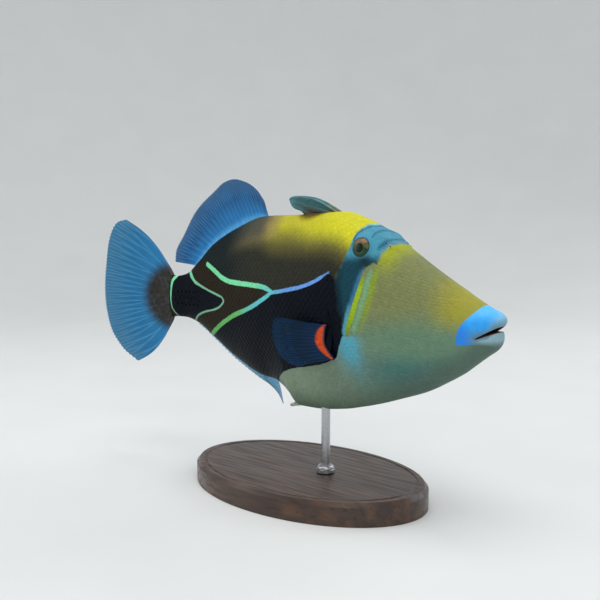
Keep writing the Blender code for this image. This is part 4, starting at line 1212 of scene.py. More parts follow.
def plate_ground(column, line):
    """t, the arc down and half the girth at places of the lattice, told as column and row numbers."""
    t = np.interp(column, lattice_count, lattice_t)
    arc = np.interp(t, GIRTH_T, LEVEL_ARC) + line * plate_tall(t)
    return t, arc, half_girth(t)


def plate_places(side, t_low, t_high):
    """Centres of the plates on one side between two places: their lattice column and row, both spaced by
    one, with every second row half a column on."""
    columns, lines = np.arange(0, int(lattice_count[-1]) + 1), np.arange(-PLATE_ROWS, PLATE_ROWS + 1)
    column, line = np.meshgrid(columns, lines, indexing="ij")
    column = (column + 0.5 * (line % 2) + 0.25).ravel()
    line = line.ravel().astype(float)
    t, arc, girth = plate_ground(column, line)
    margin = plate_tall(t) * 0.9
    keep = (column < lattice_count[-1] - 0.8) & (arc > margin) & (arc < girth - margin)
    keep &= (t >= t_low) & (t < t_high)
    keep &= ~is_bare(section(t, side * turn_at(t, np.clip(arc / girth, 0, 1))), side)
    return column[keep], line[keep]


def hide_normal(t, turn):
    """The skin's outward normal: the cross product of its ways along and round the body."""
    ahead = section(np.clip(t + 0.002, 0, 1), turn, -SKIN_INSET) - section(t - 0.002, turn, -SKIN_INSET)
    round_by = section(t, turn + 0.01, -SKIN_INSET) - section(t, turn - 0.01, -SKIN_INSET)
    normal = np.cross(ahead, round_by)
    normal /= np.linalg.norm(normal, axis=-1, keepdims=True) + 1e-12
    from_axis = section(t, turn, -SKIN_INSET) - np.stack([t, 0 * t, 0 * t], -1)
    return normal * np.sign((normal * from_axis).sum(-1))[..., None]


def grid_rim(rows, columns):
    """Numbers of the points round a grid's border, in order."""
    down, along = np.arange(rows), np.arange(1, columns)
    sides = (down * columns, down[-1] * columns + along, down[-2::-1] * columns + columns - 1, along[-2::-1])
    return np.concatenate(sides)


def scale_plates(name, side, t_low, t_high, seed):
    """Plates on one side: each is a six-sided patch of five by five points on the surface, raised inside
    its bevelled edge, whose under side closes on a point under its middle."""
    column, line = plate_places(side, t_low, t_high)
    chance = np.random.default_rng(seed)
    count = len(PLATE_STEPS)
    middle = count**2 // 2
    i, j = (a.ravel() for a in np.meshgrid(PLATE_STEPS, PLATE_STEPS, indexing="ij"))
    point = between(*zip(*PLATE_POINT), np.interp(column, lattice_count, lattice_t))[:, None]
    size = PLATE_FILL * chance.uniform(0.97, 1.01, len(column))[:, None]
    at_column = column[:, None] + 0.5 * i * size
    at_line = line[:, None] + j * (0.5 + point * (1 - 2 * np.abs(i))) * size
    t, arc, girth = plate_ground(at_column, at_line)
    arc = np.clip(arc, 0, girth)
    turn = side * turn_at(t, arc / girth)
    ground, normal = section(t, turn, -SKIN_INSET), hide_normal(t, turn)
    inner = (np.abs(i) < 1) & (np.abs(j) < 1)
    dome = 1 + 0.5 * (1 - i**2) * (1 - j**2) + 0.15 * i
    height = np.where(inner, PLATE_HEIGHT * dome, -PLATE_SUNK)
    height = height[None, :] * np.where(inner, chance.uniform(0.85, 1.15, len(column))[:, None], 1.0)
    under = (ground - normal * PLATE_UNDER)[:, middle : middle + 1]
    points = np.concatenate([ground + normal * height[..., None], under], 1)
    first = np.arange(len(column))[:, None, None] * points.shape[1]
    rim = grid_rim(count, count)
    fan = np.stack([np.roll(rim, -1), np.full_like(rim, count**2), rim], -1)
    flat = points.reshape(-1, 3)
    piece = mesh_piece(name, placed(stalk_end(flat)), first + grid_quads(count, count), first + fan)
    down = np.concatenate([arc, arc[:, middle : middle + 1]], 1).ravel()
    shade = np.repeat(chance.uniform(0.94, 1.05, len(column)), points.shape[1])
    put_values(piece, **markings(flat, down), plate=shade)
    # Each plate gets its own small patch of the map
    centre = np.stack([t[:, middle], 0.5 + side * 0.5 * (arc / girth)[:, middle]], -1)
    local = np.concatenate([np.stack([i, j], -1), [[0.0, 0.0]]]) * PLATE_PATCH / 2
    put_uv(piece, "OFBake", (centre[:, None, :] + local[None]).reshape(-1, 2))
    return piece


plate_finish = painted_hide("painted_plates", True)
for side, side_name in SIDES:
    for part_name, t_low, t_high, slot_name in PLATE_SETS:
        plates = scale_plates(f"{part_name}_plates_{side_name}", side, t_low, t_high, 7 + side)
        plate_finish.on(plates)
        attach(plates, "root")


# Eyes
# Each is a shallow glass lens, painted behind: a green-black pupil in an iris that is rust above and
# sea green below. It sits in its socket under a raised, folded ring of skin.
LID_TURNS = 144
EYE_TURNS = 96
EYE_RINGS = 90
# The pupil's radius and how far it sits under the eye's middle, in millimetres
PUPIL_RADIUS = 1.95
PUPIL_DROP = 0.6
# The lid's profile: distance from the eye's axis and height over the skin, in millimetres
LID_PROFILE = (
    (6.9, -0.16), (6.5, -0.03), (6.1, 0.05), (5.8, 0.10), (5.55, 0.09), (5.35, 0.04), (5.2, 0.10),
    (5.05, 0.26), (4.88, 0.42), (4.70, 0.52), (4.50, 0.50), (4.35, 0.40), (4.22, 0.22), (4.12, 0.0),
    (4.05, -0.4), (4.0, -1.0),
)
PUPIL = paint(2, 30, 12)
PUPIL_RIM = paint(84, 98, 46)
IRIS_RUST = paint(134, 98, 66)
IRIS_OLIVE = paint(80, 96, 50)
IRIS_GREEN = paint(24, 68, 48)
IRIS_EDGE = paint(30, 40, 40)


def straight(points):
    """Points in metres ahead of the tail's bend, as shares in the straight frame."""
    x, y, z = np.moveaxis(points, -1, 0)
    t = 0.5 - (x - FISH_SHIFT_X) / STANDARD_LENGTH
    return np.stack([t, y / STANDARD_LENGTH, (z - AXIS_HEIGHT) / STANDARD_LENGTH], -1)


def arc_down(points):
    """The arc from the back's middle line down to points on the body's side."""
    t, _, z = points.T
    share = halved(lambda s: section(t, turn_at(t, s))[..., 2] > z, np.zeros_like(t), np.ones_like(t), 24)
    return share * half_girth(t)


def hide_piece(name, points):
    """A small piece of painted hide from a grid of closed rings in metres."""
    piece = mesh_piece(name, points, grid_quads(*points.shape[:2], rings=True))
    at = straight(points).reshape(-1, 3)
    put_values(piece, **markings(at, arc_down(at)))
    hide_finish.on(piece)
    return piece


def eye_height(radius):
    """The lens's height over its middle plane at a distance from its axis: a flattened ball."""
    return EYE_DEPTH * np.sqrt(np.clip(1 - (radius / EYE_RADIUS) ** 2, 0, 1))


def eye_lid(name, side):
    """A ring of folded skin: its profile turned about the eye's axis, wider above, its outer part laid on the
    body's side and its inner part on the lens."""
    across, up, out, centre = eye_axes(side)
    radius, rise = np.array(LID_PROFILE).T[..., None] * 0.001
    angle = round_angles(LID_TURNS)[None, :]
    uneven = 1 + 0.05 * np.cos(angle - 0.6) + 0.02 * np.cos(3 * angle + 1.0)
    radius = radius * (1 + (uneven - 1) * smooth_step(radius, 0.0042, 0.0056))
    flat_place = (
        centre + (radius * np.cos(angle))[..., None] * across + (radius * np.sin(angle))[..., None] * up
    )
    t, _, z = np.moveaxis(straight(flat_place), -1, 0)
    on_skin = placed(flank(t, z, side)) + rise[..., None] * out
    on_lens = flat_place + (eye_height(radius) + np.where(radius > 0.0041, 0.00022, -0.0009))[..., None] * out
    lid_points = on_lens + (on_skin - on_lens) * smooth_step(radius, 0.0043, 0.0048)[..., None]
    return hide_piece(name, lid_points)


def ball_ways(rings, turns, closeness):
    """Ways from a ball's middle to its points, as shares of its radius along three axes: rings about the
    third axis, from closeness radians off its end."""
    polar = np.linspace(closeness, math.pi - closeness, rings)[:, None]
    around = round_angles(turns)[None, :]
    level = np.cos(polar) * np.ones_like(around)
    return np.stack([np.sin(polar) * np.cos(around), np.sin(polar) * np.sin(around), level], -1)


def eyeball(name, side):
    """A flattened ball of glass painted by the distance from its axis and the height across it."""
    across, up, out, centre = eye_axes(side)
    wide, high, deep = np.moveaxis(ball_ways(EYE_RINGS, EYE_TURNS, 0.004), -1, 0) * EYE_RADIUS
    deep = deep * (EYE_DEPTH / EYE_RADIUS)
    place = centre + wide[..., None] * across + high[..., None] * up + deep[..., None] * out
    lens = mesh_piece(name, place, grid_quads(EYE_RINGS, EYE_TURNS, rings=True))
    from_axis = np.hypot(wide, high)
    upward = high / from_axis
    from_pupil = np.hypot(wide * 1000, (high * 1000 + PUPIL_DROP) * 0.92)
    iris = coats(
        IRIS_OLIVE,
        (IRIS_RUST, smooth_step(upward, 0.25, 0.75)),
        (IRIS_GREEN, smooth_step(upward, 0.15, -0.4)),
        (PUPIL_RIM, hump((from_pupil - PUPIL_RADIUS) / 0.16) * 0.8),
        (IRIS_EDGE, smooth_step(from_axis * 1000, 3.5, 4.1)),
        (PUPIL, smooth_step(from_pupil, PUPIL_RADIUS, 1.70)),
    )
    put_values(lens, tone=iris.reshape(-1, 3))
    return lens


lens_glass = Finish("painted_lens", 0.10, Specular_IOR_Level=0.15, Coat_Weight=0.18, Coat_Roughness=0.03)
lens_fleck = lens_glass.noise(lens_glass.places(), 1500.0, 3.0)
flecks = lens_glass.ramp(lens_fleck, 0.35, 0.65, 0.0, 0.35)
lens_glass.textured(lens_fleck, (0.06, 0.16), 0.00001, 0.2)
lens_glass.join(Base_Color=lens_glass.mixed(flecks, lens_glass.value("tone", "Color"), IRIS_EDGE))
for side, side_name in SIDES:
    lid = eye_lid(f"eye_lid_{side_name}", side)
    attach(lid, "root")

    lens = eyeball(f"eyeball_{side_name}", side)
    lens_glass.on(lens)
    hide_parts(f"eye_{side_name}")
    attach(lens, "root")


# Nostrils
# Two small pits in front of each eye, each in a low raised rim of skin. They are modelled apart and
# pressed on to the hide.
NOSTRILS = ((0.268, 0.157), (0.259, 0.150))
# The rim's profile: distance from its middle and height over the skin, in millimetres
NOSTRIL_PROFILE = (
    (1.10, -0.14), (0.85, 0.06), (0.66, 0.22), (0.50, 0.26), (0.38, 0.18), (0.30, 0.02), (0.01, 0.0),
)
NOSTRIL_TURNS = 32


def nostril_rim(t, z, side):
    """Points of one rim on the side at t and height z: the profile turned about the surface's normal."""
    foot = flank(np.array([t]), np.array([z]), side)[0]
    nearby = flank(np.array([t + 0.002, t]), np.array([z, z + 0.002]), side)
    normal = np.cross(nearby[0] - foot, nearby[1] - foot)
    normal *= side * np.sign(normal[1]) / np.linalg.norm(normal)
    first = np.cross(normal, [1, 0, 0])
    first /= np.linalg.norm(first)
    second = np.cross(normal, first)
    wide, high = np.array(NOSTRIL_PROFILE).T[..., None, None] * MILLIMETRE
    angle = round_angles(NOSTRIL_TURNS)[None, :, None]
    return foot + wide * (np.cos(angle) * first + np.sin(angle) * second) + high * normal


pit = [smooth_step(wide, 0.45, 0.30) for wide, _ in NOSTRIL_PROFILE]
pit_shade = np.tile(np.repeat(pit, NOSTRIL_TURNS), len(NOSTRILS))
rim_quads = grid_quads(len(NOSTRIL_PROFILE), NOSTRIL_TURNS, rings=True)
for side, side_name in SIDES:
    rims = np.array([nostril_rim(t, z, side) for t, z in NOSTRILS]).reshape(-1, 3)
    both = np.concatenate([rim_quads, rim_quads + len(rims) // 2])
    nostrils = mesh_piece(f"nostrils_{side_name}", placed(rims), both)
    rim_paint = markings(rims, arc_down(rims))
    # Painted shade: the pits' floors darkened
    rim_paint["tone"] = over(rim_paint["tone"], BROW_STRIPE * 0.35, pit_shade)
    put_values(nostrils, **rim_paint)
    hide_finish.on(nostrils)
    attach(nostrils, "root")


# First dorsal fin
# Three stiff spines and their web, folded back over their groove. The stout locking spine is the upper
# edge, and its front end is sunk in the back.
LEAF_COLUMNS, LEAF_ROWS = 72, 110
# The upper and lower outlines from the sunk front end to the tip, as t and height
LEAF_TOP = (
    (0.396, 0.203), (0.416, 0.2180), (0.437, 0.2305), (0.460, 0.2420), (0.479, 0.2510), (0.509, 0.2610),
    (0.537, 0.2648), (0.555, 0.2660), (0.569, 0.2665), (0.578, 0.2655), (0.5835, 0.2620), (0.5855, 0.2565),
)
LEAF_LOW = (
    (0.400, 0.194), (0.420, 0.201), (0.442, 0.207), (0.466, 0.210), (0.494, 0.2130), (0.520, 0.2160),
    (0.537, 0.2215), (0.551, 0.2315), (0.563, 0.2345), (0.573, 0.2385), (0.581, 0.2465), (0.5845, 0.2535),
)
LEAF_SLATE = paint(62, 112, 118)
LEAF_RIM = paint(92, 154, 164)
LEAF_DARK = paint(46, 78, 74)
LEAF_TAN = paint(146, 128, 58)
LEAF_GROOVE_SHADE = paint(62, 40, 16)


def ribbed_web(name, middle, half):
    """A closed web round a grid of middle points in metres: each goes half the thickness to both faces
    along the grid's normal, and a strip closes the four edges."""
    columns, rows = middle.shape[:2]
    normal = np.cross(np.gradient(middle, axis=0), np.gradient(middle, axis=1))
    normal /= np.linalg.norm(normal, axis=-1, keepdims=True)
    offset = normal * half[..., None]
    far = columns * rows
    face = grid_quads(columns, rows)
    rim = grid_rim(columns, rows)
    onward = np.roll(rim, -1)
    strip = np.stack([rim, rim + far, onward + far, onward], -1)
    points = np.concatenate([(middle + offset).reshape(-1, 3), (middle - offset).reshape(-1, 3)])
    return mesh_piece(name, points, np.concatenate([face, face[:, ::-1] + far, strip]))


def put_both(piece, **named):
    """Stores values or colours of the middle grid on both faces of a web."""
    for name, values in named.items():
        flat = np.reshape(values, (-1, 3) if np.ndim(values) == 3 else -1)
        put_values(piece, **{name: np.concatenate([flat, flat])})


leaf_top, leaf_low = (along_path(path, LEAF_ROWS) for path in (LEAF_TOP, LEAF_LOW))
out = np.linspace(0, 1, LEAF_ROWS)[None, :]
spread = np.linspace(0, 1, LEAF_COLUMNS)[:, None] ** 1.4
leaf_flat = leaf_top + (leaf_low - leaf_top) * spread[..., None]
leaf_y = 0.004 * np.sin(2.2 * math.pi * spread) * np.sin(math.pi * out)
leaf_y = leaf_y + 0.0012 * np.sin(5.5 * math.pi * spread + 1.2) * np.sin(math.pi * out) ** 0.5
first_spine = hump(spread / 0.12) * (1 - 0.62 * out)
second_spine = hump((spread - 0.5) / 0.07) * np.sqrt(1 - out)
third_spine = hump((spread - 0.86) / 0.07) * (1 - out)
leaf_round = np.sqrt(np.clip(1 - (1 - spread / 0.08).clip(0) ** 2, 0.02, 1)) * smooth_step(out, -0.06, 0.12)
leaf_half = (0.0015 * first_spine + 0.0008 * second_spine + 0.0006 * third_spine + 0.00026) * leaf_round
leaf_middle = np.stack([leaf_flat[..., 0], leaf_y, leaf_flat[..., 1]], -1)
first_dorsal = ribbed_web("first_dorsal", placed(leaf_middle), leaf_half)
leaf_tone = coats(
    LEAF_SLATE,
    (LEAF_DARK, hump((spread - 0.5) / 0.3) * 0.6),
    (LEAF_RIM, smooth_step(spread, 0.20, 0.02) * 0.5),
    (LEAF_RIM, smooth_step(out * np.ones_like(spread), 0.80, 1.0) * 0.6),
    (LEAF_TAN, smooth_step(out + 0.10 * spread, 0.50, 0.20) * 0.75),
    # Painted shade: the lower front of the folded web, where it goes down into the back's groove, in dark
    # brown
    (LEAF_GROOVE_SHADE, smooth_step(spread, 0.35, 0.72) * smooth_step(out, 0.80, 0.62)),
)
put_both(first_dorsal, tone=leaf_tone)
leaf_skin = Finish("spiny_leaf", 0.45, Specular_IOR_Level=0.2, Coat_Weight=0.08, Coat_Roughness=0.2)
leaf_grain = leaf_skin.noise(leaf_skin.places(), 1300.0, 3.0)
leaf_folds = leaf_skin.noise(leaf_skin.places(scale=(0.35, 1, 2.2)), 520.0, 3.0)
creases = leaf_skin.ramp(leaf_folds, 0.35, 0.65, 0.0, 0.5)
leaf_shade = leaf_skin.mixed(creases, leaf_skin.value("tone", "Color"), LEAF_DARK)
leaf_light = leaf_skin.ramp(leaf_grain, 0.35, 0.65, 0.0, 0.15)
leaf_skin.textured(leaf_grain, (0.38, 0.58), 0.00006, 0.5, leaf_skin.bump(leaf_folds, 0.00020, 0.5))
leaf_skin.join(Base_Color=leaf_skin.mixed(leaf_light, leaf_shade, LEAF_RIM))
leaf_skin.on(first_dorsal)
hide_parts("first_dorsal_fin")
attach(first_dorsal, "root")


# Second dorsal fin
# A soft fin of two dozen jointed rays, each of which forks twice towards the rim, in a thin azure web. It
# is cast in clear resin, painted, and let into the back.
DORSAL_RAYS = 24
DORSAL_BASE = (0.661, 0.914)
# Share along the base, then t and height of the ray tips
DORSAL_RIM = (
    (0.00, 0.664, 0.258), (0.05, 0.684, 0.286), (0.12, 0.718, 0.306), (0.22, 0.756, 0.314),
    (0.36, 0.800, 0.306), (0.50, 0.846, 0.279), (0.70, 0.906, 0.226), (0.85, 0.946, 0.168),
    (0.95, 0.970, 0.124), (1.00, 0.973, 0.098),
)
# How far the rays lean aside near their roots and at their tips, in degrees along the base
DORSAL_LEAN = ((-14.0, -10.0, -12.0), (-20.0, -6.0, -14.0))
LEAN_START = 0.2
FIN_SUNK = 0.010
WEB_ROWS = 52
COLUMNS_PER_RAY = 14
WEB_HALF = 0.00013
RAY_HALF = 0.00030
WEB_FRINGE = 0.5 * MILLIMETRE
RAY_TAPER = 0.55
FIN_ROOT_HALF = 0.0011
ROOT_REACH = 0.10
MEDIAN_RIPPLE = 0.0022
FIN_GLOW = paint(88, 180, 240)
FIN_AZURE = paint(28, 126, 192)
FIN_DEEP = paint(12, 84, 142)
FIN_TIP = paint(12, 82, 138)
FIN_RAY = paint(92, 172, 218)


def branching(place, out, rays):
    """How near each point of a web is to a ray's crest, from 0 to 1.

    place counts across the rays from 0 to 1. Each ray forks a sixth of the way out and its branches fork
    again near the middle, by a share of the space between rays that grows outwards.
    """
    cell = place * (rays - 1)
    off = np.abs(cell - np.round(cell))
    off = np.abs(off - 0.25 * smooth_step(out, 0.16, 0.70))
    off = np.abs(off - 0.125 * smooth_step(out, 0.45, 1.0))
    width = 0.085 - 0.035 * out
    return hump(off / width)


def edge_points(edge, place):
    """t and height at places along a fin's edge, told as place, t and height."""
    place_along, *ways = zip(*edge)
    return np.stack([between(place_along, way, place) for way in ways], -1)


def fan_out(root, tip, out):
    """t and height of the grid from each root to its tip."""
    grid = root[:, None] + (tip - root)[:, None] * out[..., None]
    return grid[..., 0], grid[..., 1]


def jointed_fin(name, middle, place, out, rays, root_half):
    """A web with forked rays raised on both faces, thickened to root_half where it leaves the body.

    Its rim stands out a little at each ray's tips.
    """
    crest = branching(place, out, rays)
    outward = np.gradient(middle, axis=1)
    outward /= np.linalg.norm(outward, axis=-1, keepdims=True) + 1e-12
    middle = middle + outward * (WEB_FRINGE * (crest - 0.5) * smooth_step(out, 0.8, 1.0))[..., None]
    half = WEB_HALF + RAY_HALF * crest * (1 - RAY_TAPER * out)
    half = half + (root_half - WEB_HALF) * hump(out / ROOT_REACH)
    fin = ribbed_web(name, placed(middle), half)
    put_both(fin, crest=crest, out=np.broadcast_to(out, crest.shape))
    length = np.linalg.norm(middle[:, -1] - middle[:, 0], axis=-1)[:, None] * STANDARD_LENGTH * 1000
    across_web = np.broadcast_to(place * (rays - 1), crest.shape)
    web_uv = np.stack([across_web, out * length], -1).reshape(-1, 2)
    put_uv(fin, "lie", np.concatenate([web_uv, web_uv]))
    return fin


def median_fin(name, rays, base, rim, leans, column):
    """A soft fin on the back or belly.

    Each ray runs from the body's edge to its tip and keeps its length. It leans aside by an angle that
    grows evenly from the first value of leans to the second, but from nothing over its first fifth.
    """
    place = np.linspace(0, 1, (rays - 1) * COLUMNS_PER_RAY + 1)
    root_t = base[0] + (base[1] - base[0]) * place
    root = np.stack([root_t, station(root_t, column)], -1)
    low, high = (np.radians(between(np.linspace(0, 1, len(v)), v, place)) for v in leans)
    out = np.linspace(0, 1, WEB_ROWS)
    ray = edge_points(rim, place) - root
    length = np.linalg.norm(ray, axis=-1)
    unit = ray / length[:, None]
    angle = (low[:, None] + (high - low)[:, None] * out) * np.clip(out / LEAN_START, 0, 1)
    step = np.diff(out, prepend=0) * length[:, None]
    upright = np.cumsum(step * np.cos(angle), axis=1) - FIN_SUNK * (1 - out) ** 6
    aside = np.cumsum(step * np.sin(angle), axis=1)
    ripple = MEDIAN_RIPPLE * np.sin(place * 17.0)[:, None] * out**2
    t = root[:, 0, None] + unit[:, 0, None] * upright
    z = root[:, 1, None] + unit[:, 1, None] * upright
    middle = np.stack([t, aside + ripple, z], -1)
    return jointed_fin(name, middle, place[:, None], out[None, :], rays, FIN_ROOT_HALF)


def azure_web(name, glow, main, deep, tip, ray, sheen=0.25):
    """A fin's painted web: a glowing line at its base, deeper beyond, with paler rays, joints across the
    rays and fine streaks along them, and a little light through the web near its rim."""
    web = Finish(name, 0.45, Specular_IOR_Level=sheen, Coat_Weight=0.06, Subsurface_Weight=0.10)
    web.shader.inputs["Subsurface Radius"].default_value = (0.0006, 0.0010, 0.0014)
    out = web.value("out")
    crest = web.value("crest")
    lie = web.node("UVMap", uv_map="lie").outputs[0]
    drawn_out = web.node("Mapping", {"Vector": lie, "Scale": (7.0, 0.16, 1.0)}).outputs[0]
    streaks = web.noise(drawn_out, 1.0, 3.0)
    cloud = web.noise(web.places(), 160.0, 3.0)
    joints = web.node(
        "TexWave", {"Vector": lie, "Scale": 0.36, "Distortion": 0.6, "Detail": 1.0}, bands_direction="Y"
    ).outputs["Fac"]
    colour = web.mixed(web.ramp(out, 0.02, 0.22), glow, main)
    colour = web.mixed(web.ramp(out, 0.15, 0.60), colour, deep)
    colour = web.mixed(web.ramp(out, 0.62, 0.98), colour, tip)
    lit = web.maths("MULTIPLY", crest, web.ramp(joints, 0.05, 0.5, 0.24, 0.50))
    colour = web.mixed(lit, colour, ray)
    colour = web.mixed(web.ramp(streaks, 0.35, 0.65, 0.0, 0.35), colour, deep * 0.7)
    colour = web.mixed(web.ramp(cloud, 0.4, 0.7, 0.0, 0.25), colour, main)
    jointed = web.maths("MULTIPLY", crest, joints)
    web.textured(streaks, (0.34, 0.50), 0.00008, 0.5, web.bump(jointed, 0.00010, 0.6))
    clear_rim = web.ramp(out, 0.45, 1.0, 1.0, 0.76)
    web.join(Base_Color=colour, Alpha=web.maths("MAXIMUM", clear_rim, web.ramp(crest, 0.2, 0.9)))
    return web


fin_finish = azure_web("azure_web", FIN_GLOW, FIN_AZURE, FIN_DEEP, FIN_TIP, FIN_RAY)
second_dorsal = median_fin("second_dorsal", DORSAL_RAYS, DORSAL_BASE, DORSAL_RIM, DORSAL_LEAN, 1)
fin_finish.on(second_dorsal)
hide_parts("second_dorsal_fin")
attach(second_dorsal, "root")


# Anal fin
# The same soft fin under the tail, swung out to the fish's left at the end of a stroke. It is let into
# the belly's edge.
ANAL_RAYS = 21
ANAL_BASE = (0.674, 0.902)
ANAL_RIM = (
    (0.00, 0.717, -0.322), (0.08, 0.752, -0.316), (0.20, 0.799, -0.299), (0.36, 0.838, -0.268),
    (0.55, 0.885, -0.222), (0.75, 0.925, -0.168), (0.90, 0.946, -0.128), (1.00, 0.950, -0.098),
)
ANAL_LEAN = ((70.0, 84.0, 84.0, 80.0, 70.0), (34.0, 68.0, 80.0, 78.0, 70.0))

anal = median_fin("anal", ANAL_RAYS, ANAL_BASE, ANAL_RIM, ANAL_LEAN, 2)
anal_finish = azure_web(
    "anal_web", paint(110, 176, 206), paint(84, 160, 196), paint(72, 148, 186), paint(86, 164, 200), FIN_RAY
)
anal_finish.on(anal)
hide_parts("anal_fin")
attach(anal, "root")


# Tail fin
# Thirteen jointed rays that fan out of the stalk's end and fork twice, arched aside a little. A scaly
# brown cuff covers their roots.
CAUDAL_RAYS = 13
CAUDAL_ROOT = ((0.00, 0.991, 0.059), (1.00, 0.991, -0.053))
CAUDAL_RIM = (
    (0.00, 1.150, 0.212), (0.05, 1.176, 0.206), (0.12, 1.196, 0.178), (0.24, 1.207, 0.120),
    (0.40, 1.214, 0.050), (0.56, 1.214, -0.020), (0.74, 1.200, -0.090), (0.90, 1.166, -0.152),
    (1.00, 1.118, -0.187),
)
CAUDAL_ARCH = 0.030
CAUDAL_ROWS = 84
CAUDAL_COLUMNS_PER_RAY = 26
CAUDAL_BULGE = 0.010
CAUDAL_CURL = 0.016
CAUDAL_RIPPLE = 0.0016
CAUDAL_ROOT_HALF = 0.0012
CUFF_MIDDLE = (0.985, 0.002)
CUFF_REACH = (0.110, 0.098)
CUFF_BROWN = paint(46, 39, 30)
CUFF_DARK = paint(24, 23, 20)

place = np.linspace(0, 1, (CAUDAL_RAYS - 1) * CAUDAL_COLUMNS_PER_RAY + 1)
out = np.linspace(0, 1, CAUDAL_ROWS)[None, :]
spread = 2 * place[:, None] - 1
caudal_t, caudal_z = fan_out(edge_points(CAUDAL_ROOT, place), edge_points(CAUDAL_RIM, place), out)
caudal_z += CAUDAL_ARCH * np.sign(-spread) * np.abs(spread) ** 3 * np.sin(math.pi * out**0.8)
caudal_y = CAUDAL_BULGE * np.sin(math.pi * out) * (1 - spread**2) + CAUDAL_CURL * spread**2 * out**2
caudal_y = caudal_y + CAUDAL_RIPPLE * np.sin(place[:, None] * 23.0) * out**2
caudal_middle = np.stack([caudal_t, caudal_y, caudal_z], -1)
caudal = jointed_fin("caudal", caudal_middle, place[:, None], out, CAUDAL_RAYS, CAUDAL_ROOT_HALF)
cuff = np.hypot(
    (caudal_t - CUFF_MIDDLE[0]) / CUFF_REACH[0], (caudal_z - CUFF_MIDDLE[1]) / CUFF_REACH[1]
)
put_both(caudal, cuff=smooth_step(cuff, 1.12, 0.74))
tail_finish = azure_web(
    "tail_web", paint(40, 130, 190), paint(30, 124, 180), paint(26, 114, 164), paint(34, 118, 158), FIN_RAY
)
web_colour = tail_finish.shader.inputs["Base Color"].links[0].from_socket
cuff_noise = tail_finish.noise(tail_finish.places(), 520.0, 3.0)
cuff_wear = tail_finish.ramp(cuff_noise, 0.2, 0.5, 0.85, 1.0)
cuff_amount = tail_finish.maths("MULTIPLY", tail_finish.value("cuff"), cuff_wear)
cuff_colour = tail_finish.mixed(tail_finish.ramp(cuff_noise, 0.3, 0.7), CUFF_BROWN, CUFF_DARK)
tail_finish.join(Base_Color=tail_finish.mixed(cuff_amount, web_colour, cuff_colour))
tail_finish.on(caudal)
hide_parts("caudal_fin")
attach(caudal, "root")


# Pectoral fins
# A small fan of soft rays behind each gill slit, with an orange-red crescent at its root. It is let into
# a fleshy pad of painted hide.
PECTORAL_RAYS = 13
PECTORAL_ROOT = ((0.0, 0.395, -0.026), (0.5, 0.400, -0.062), (1.0, 0.381, -0.100))
PECTORAL_RIM = (
    (0.00, 0.513, -0.013), (0.14, 0.530, -0.024), (0.32, 0.538, -0.048), (0.52, 0.535, -0.074),
    (0.72, 0.521, -0.098), (0.88, 0.497, -0.116), (1.00, 0.462, -0.123),
)
PECTORAL_FLARE = 0.032
PECTORAL_ROWS = 64
PECTORAL_GAP = 0.004
PECTORAL_CUP = 0.006
PECTORAL_RIPPLE = 0.0010
PAD_RADII = (0.0024, 0.0012, 0.0070)
PAD_TILT = math.radians(6)
# How far the pad's middle lies ahead of the fin's root and outside the body's side
PAD_AHEAD, PAD_OUT = 0.004, 0.001
PAD_RINGS, PAD_TURNS = 30, 40
PECTORAL_RED = paint(198, 60, 28)
PECTORAL_ORANGE = paint(222, 94, 38)
PECTORAL_NAVY = paint(10, 42, 76)
PECTORAL_NIGHT = paint(7, 30, 52)
PECTORAL_RAY = paint(28, 76, 114)

pectoral_colours = (PECTORAL_NAVY, PECTORAL_NAVY, PECTORAL_NIGHT, paint(12, 48, 80), PECTORAL_RAY)
pectoral_finish = azure_web("pectoral_web", *pectoral_colours, sheen=0.08)
web_colour = pectoral_finish.shader.inputs["Base Color"].links[0].from_socket
red_noise = pectoral_finish.noise(pectoral_finish.places(), 900.0, 3.0)
red_colour = pectoral_finish.mixed(pectoral_finish.ramp(red_noise), PECTORAL_RED, PECTORAL_ORANGE)
pectoral_finish.join(Base_Color=pectoral_finish.mixed(pectoral_finish.value("red"), web_colour, red_colour))


def pectoral_fan(name, side):
    """One fan: rays run from its root beside the body to its rim, and flare outwards over a cupped middle."""
    place = np.linspace(0, 1, (PECTORAL_RAYS - 1) * COLUMNS_PER_RAY + 1)
    out = np.linspace(0, 1, PECTORAL_ROWS)[None, :]
    root = edge_points(PECTORAL_ROOT, place)
    t, z = fan_out(root, edge_points(PECTORAL_RIM, place), out)
    wall = np.abs(flank(root[:, 0], root[:, 1], side)[:, 1])[:, None]
    cup = PECTORAL_CUP * np.sin(math.pi * place)[:, None] * out
    ripple = PECTORAL_RIPPLE * np.sin(place * 19.0)[:, None] * out**2
    y = side * (wall + PECTORAL_GAP + PECTORAL_FLARE * out**0.9 - cup + ripple)
    fan = jointed_fin(name, np.stack([t, y, z], -1), place[:, None], out, PECTORAL_RAYS, FIN_ROOT_HALF)
    crescent = 0.055 + 0.125 * np.clip(np.sin(math.pi * place), 0, 1)[:, None] ** 0.7
    put_both(fan, red=smooth_step(out - crescent, 0.022, -0.022) * smooth_step(out, 0.0, 0.05))
    return fan


def fin_pad(name, side):
    """A long flattened ball on the body's side, tilted a little, under a fin's root."""
    _, t, z = PECTORAL_ROOT[1]
    t = t - PAD_AHEAD
    wall = np.abs(flank(np.array([t]), np.array([z]), side)[0, 1])
    x, y, up = np.moveaxis(ball_ways(PAD_RINGS, PAD_TURNS, 0.01) * PAD_RADII, -1, 0)
    tilted_x = x * math.cos(PAD_TILT) + up * math.sin(PAD_TILT)
    tilted_up = up * math.cos(PAD_TILT) - x * math.sin(PAD_TILT)
    points = placed([t, side * (wall + PAD_OUT), z]) + np.stack([tilted_x, y, tilted_up], -1)
    return hide_piece(name, points)


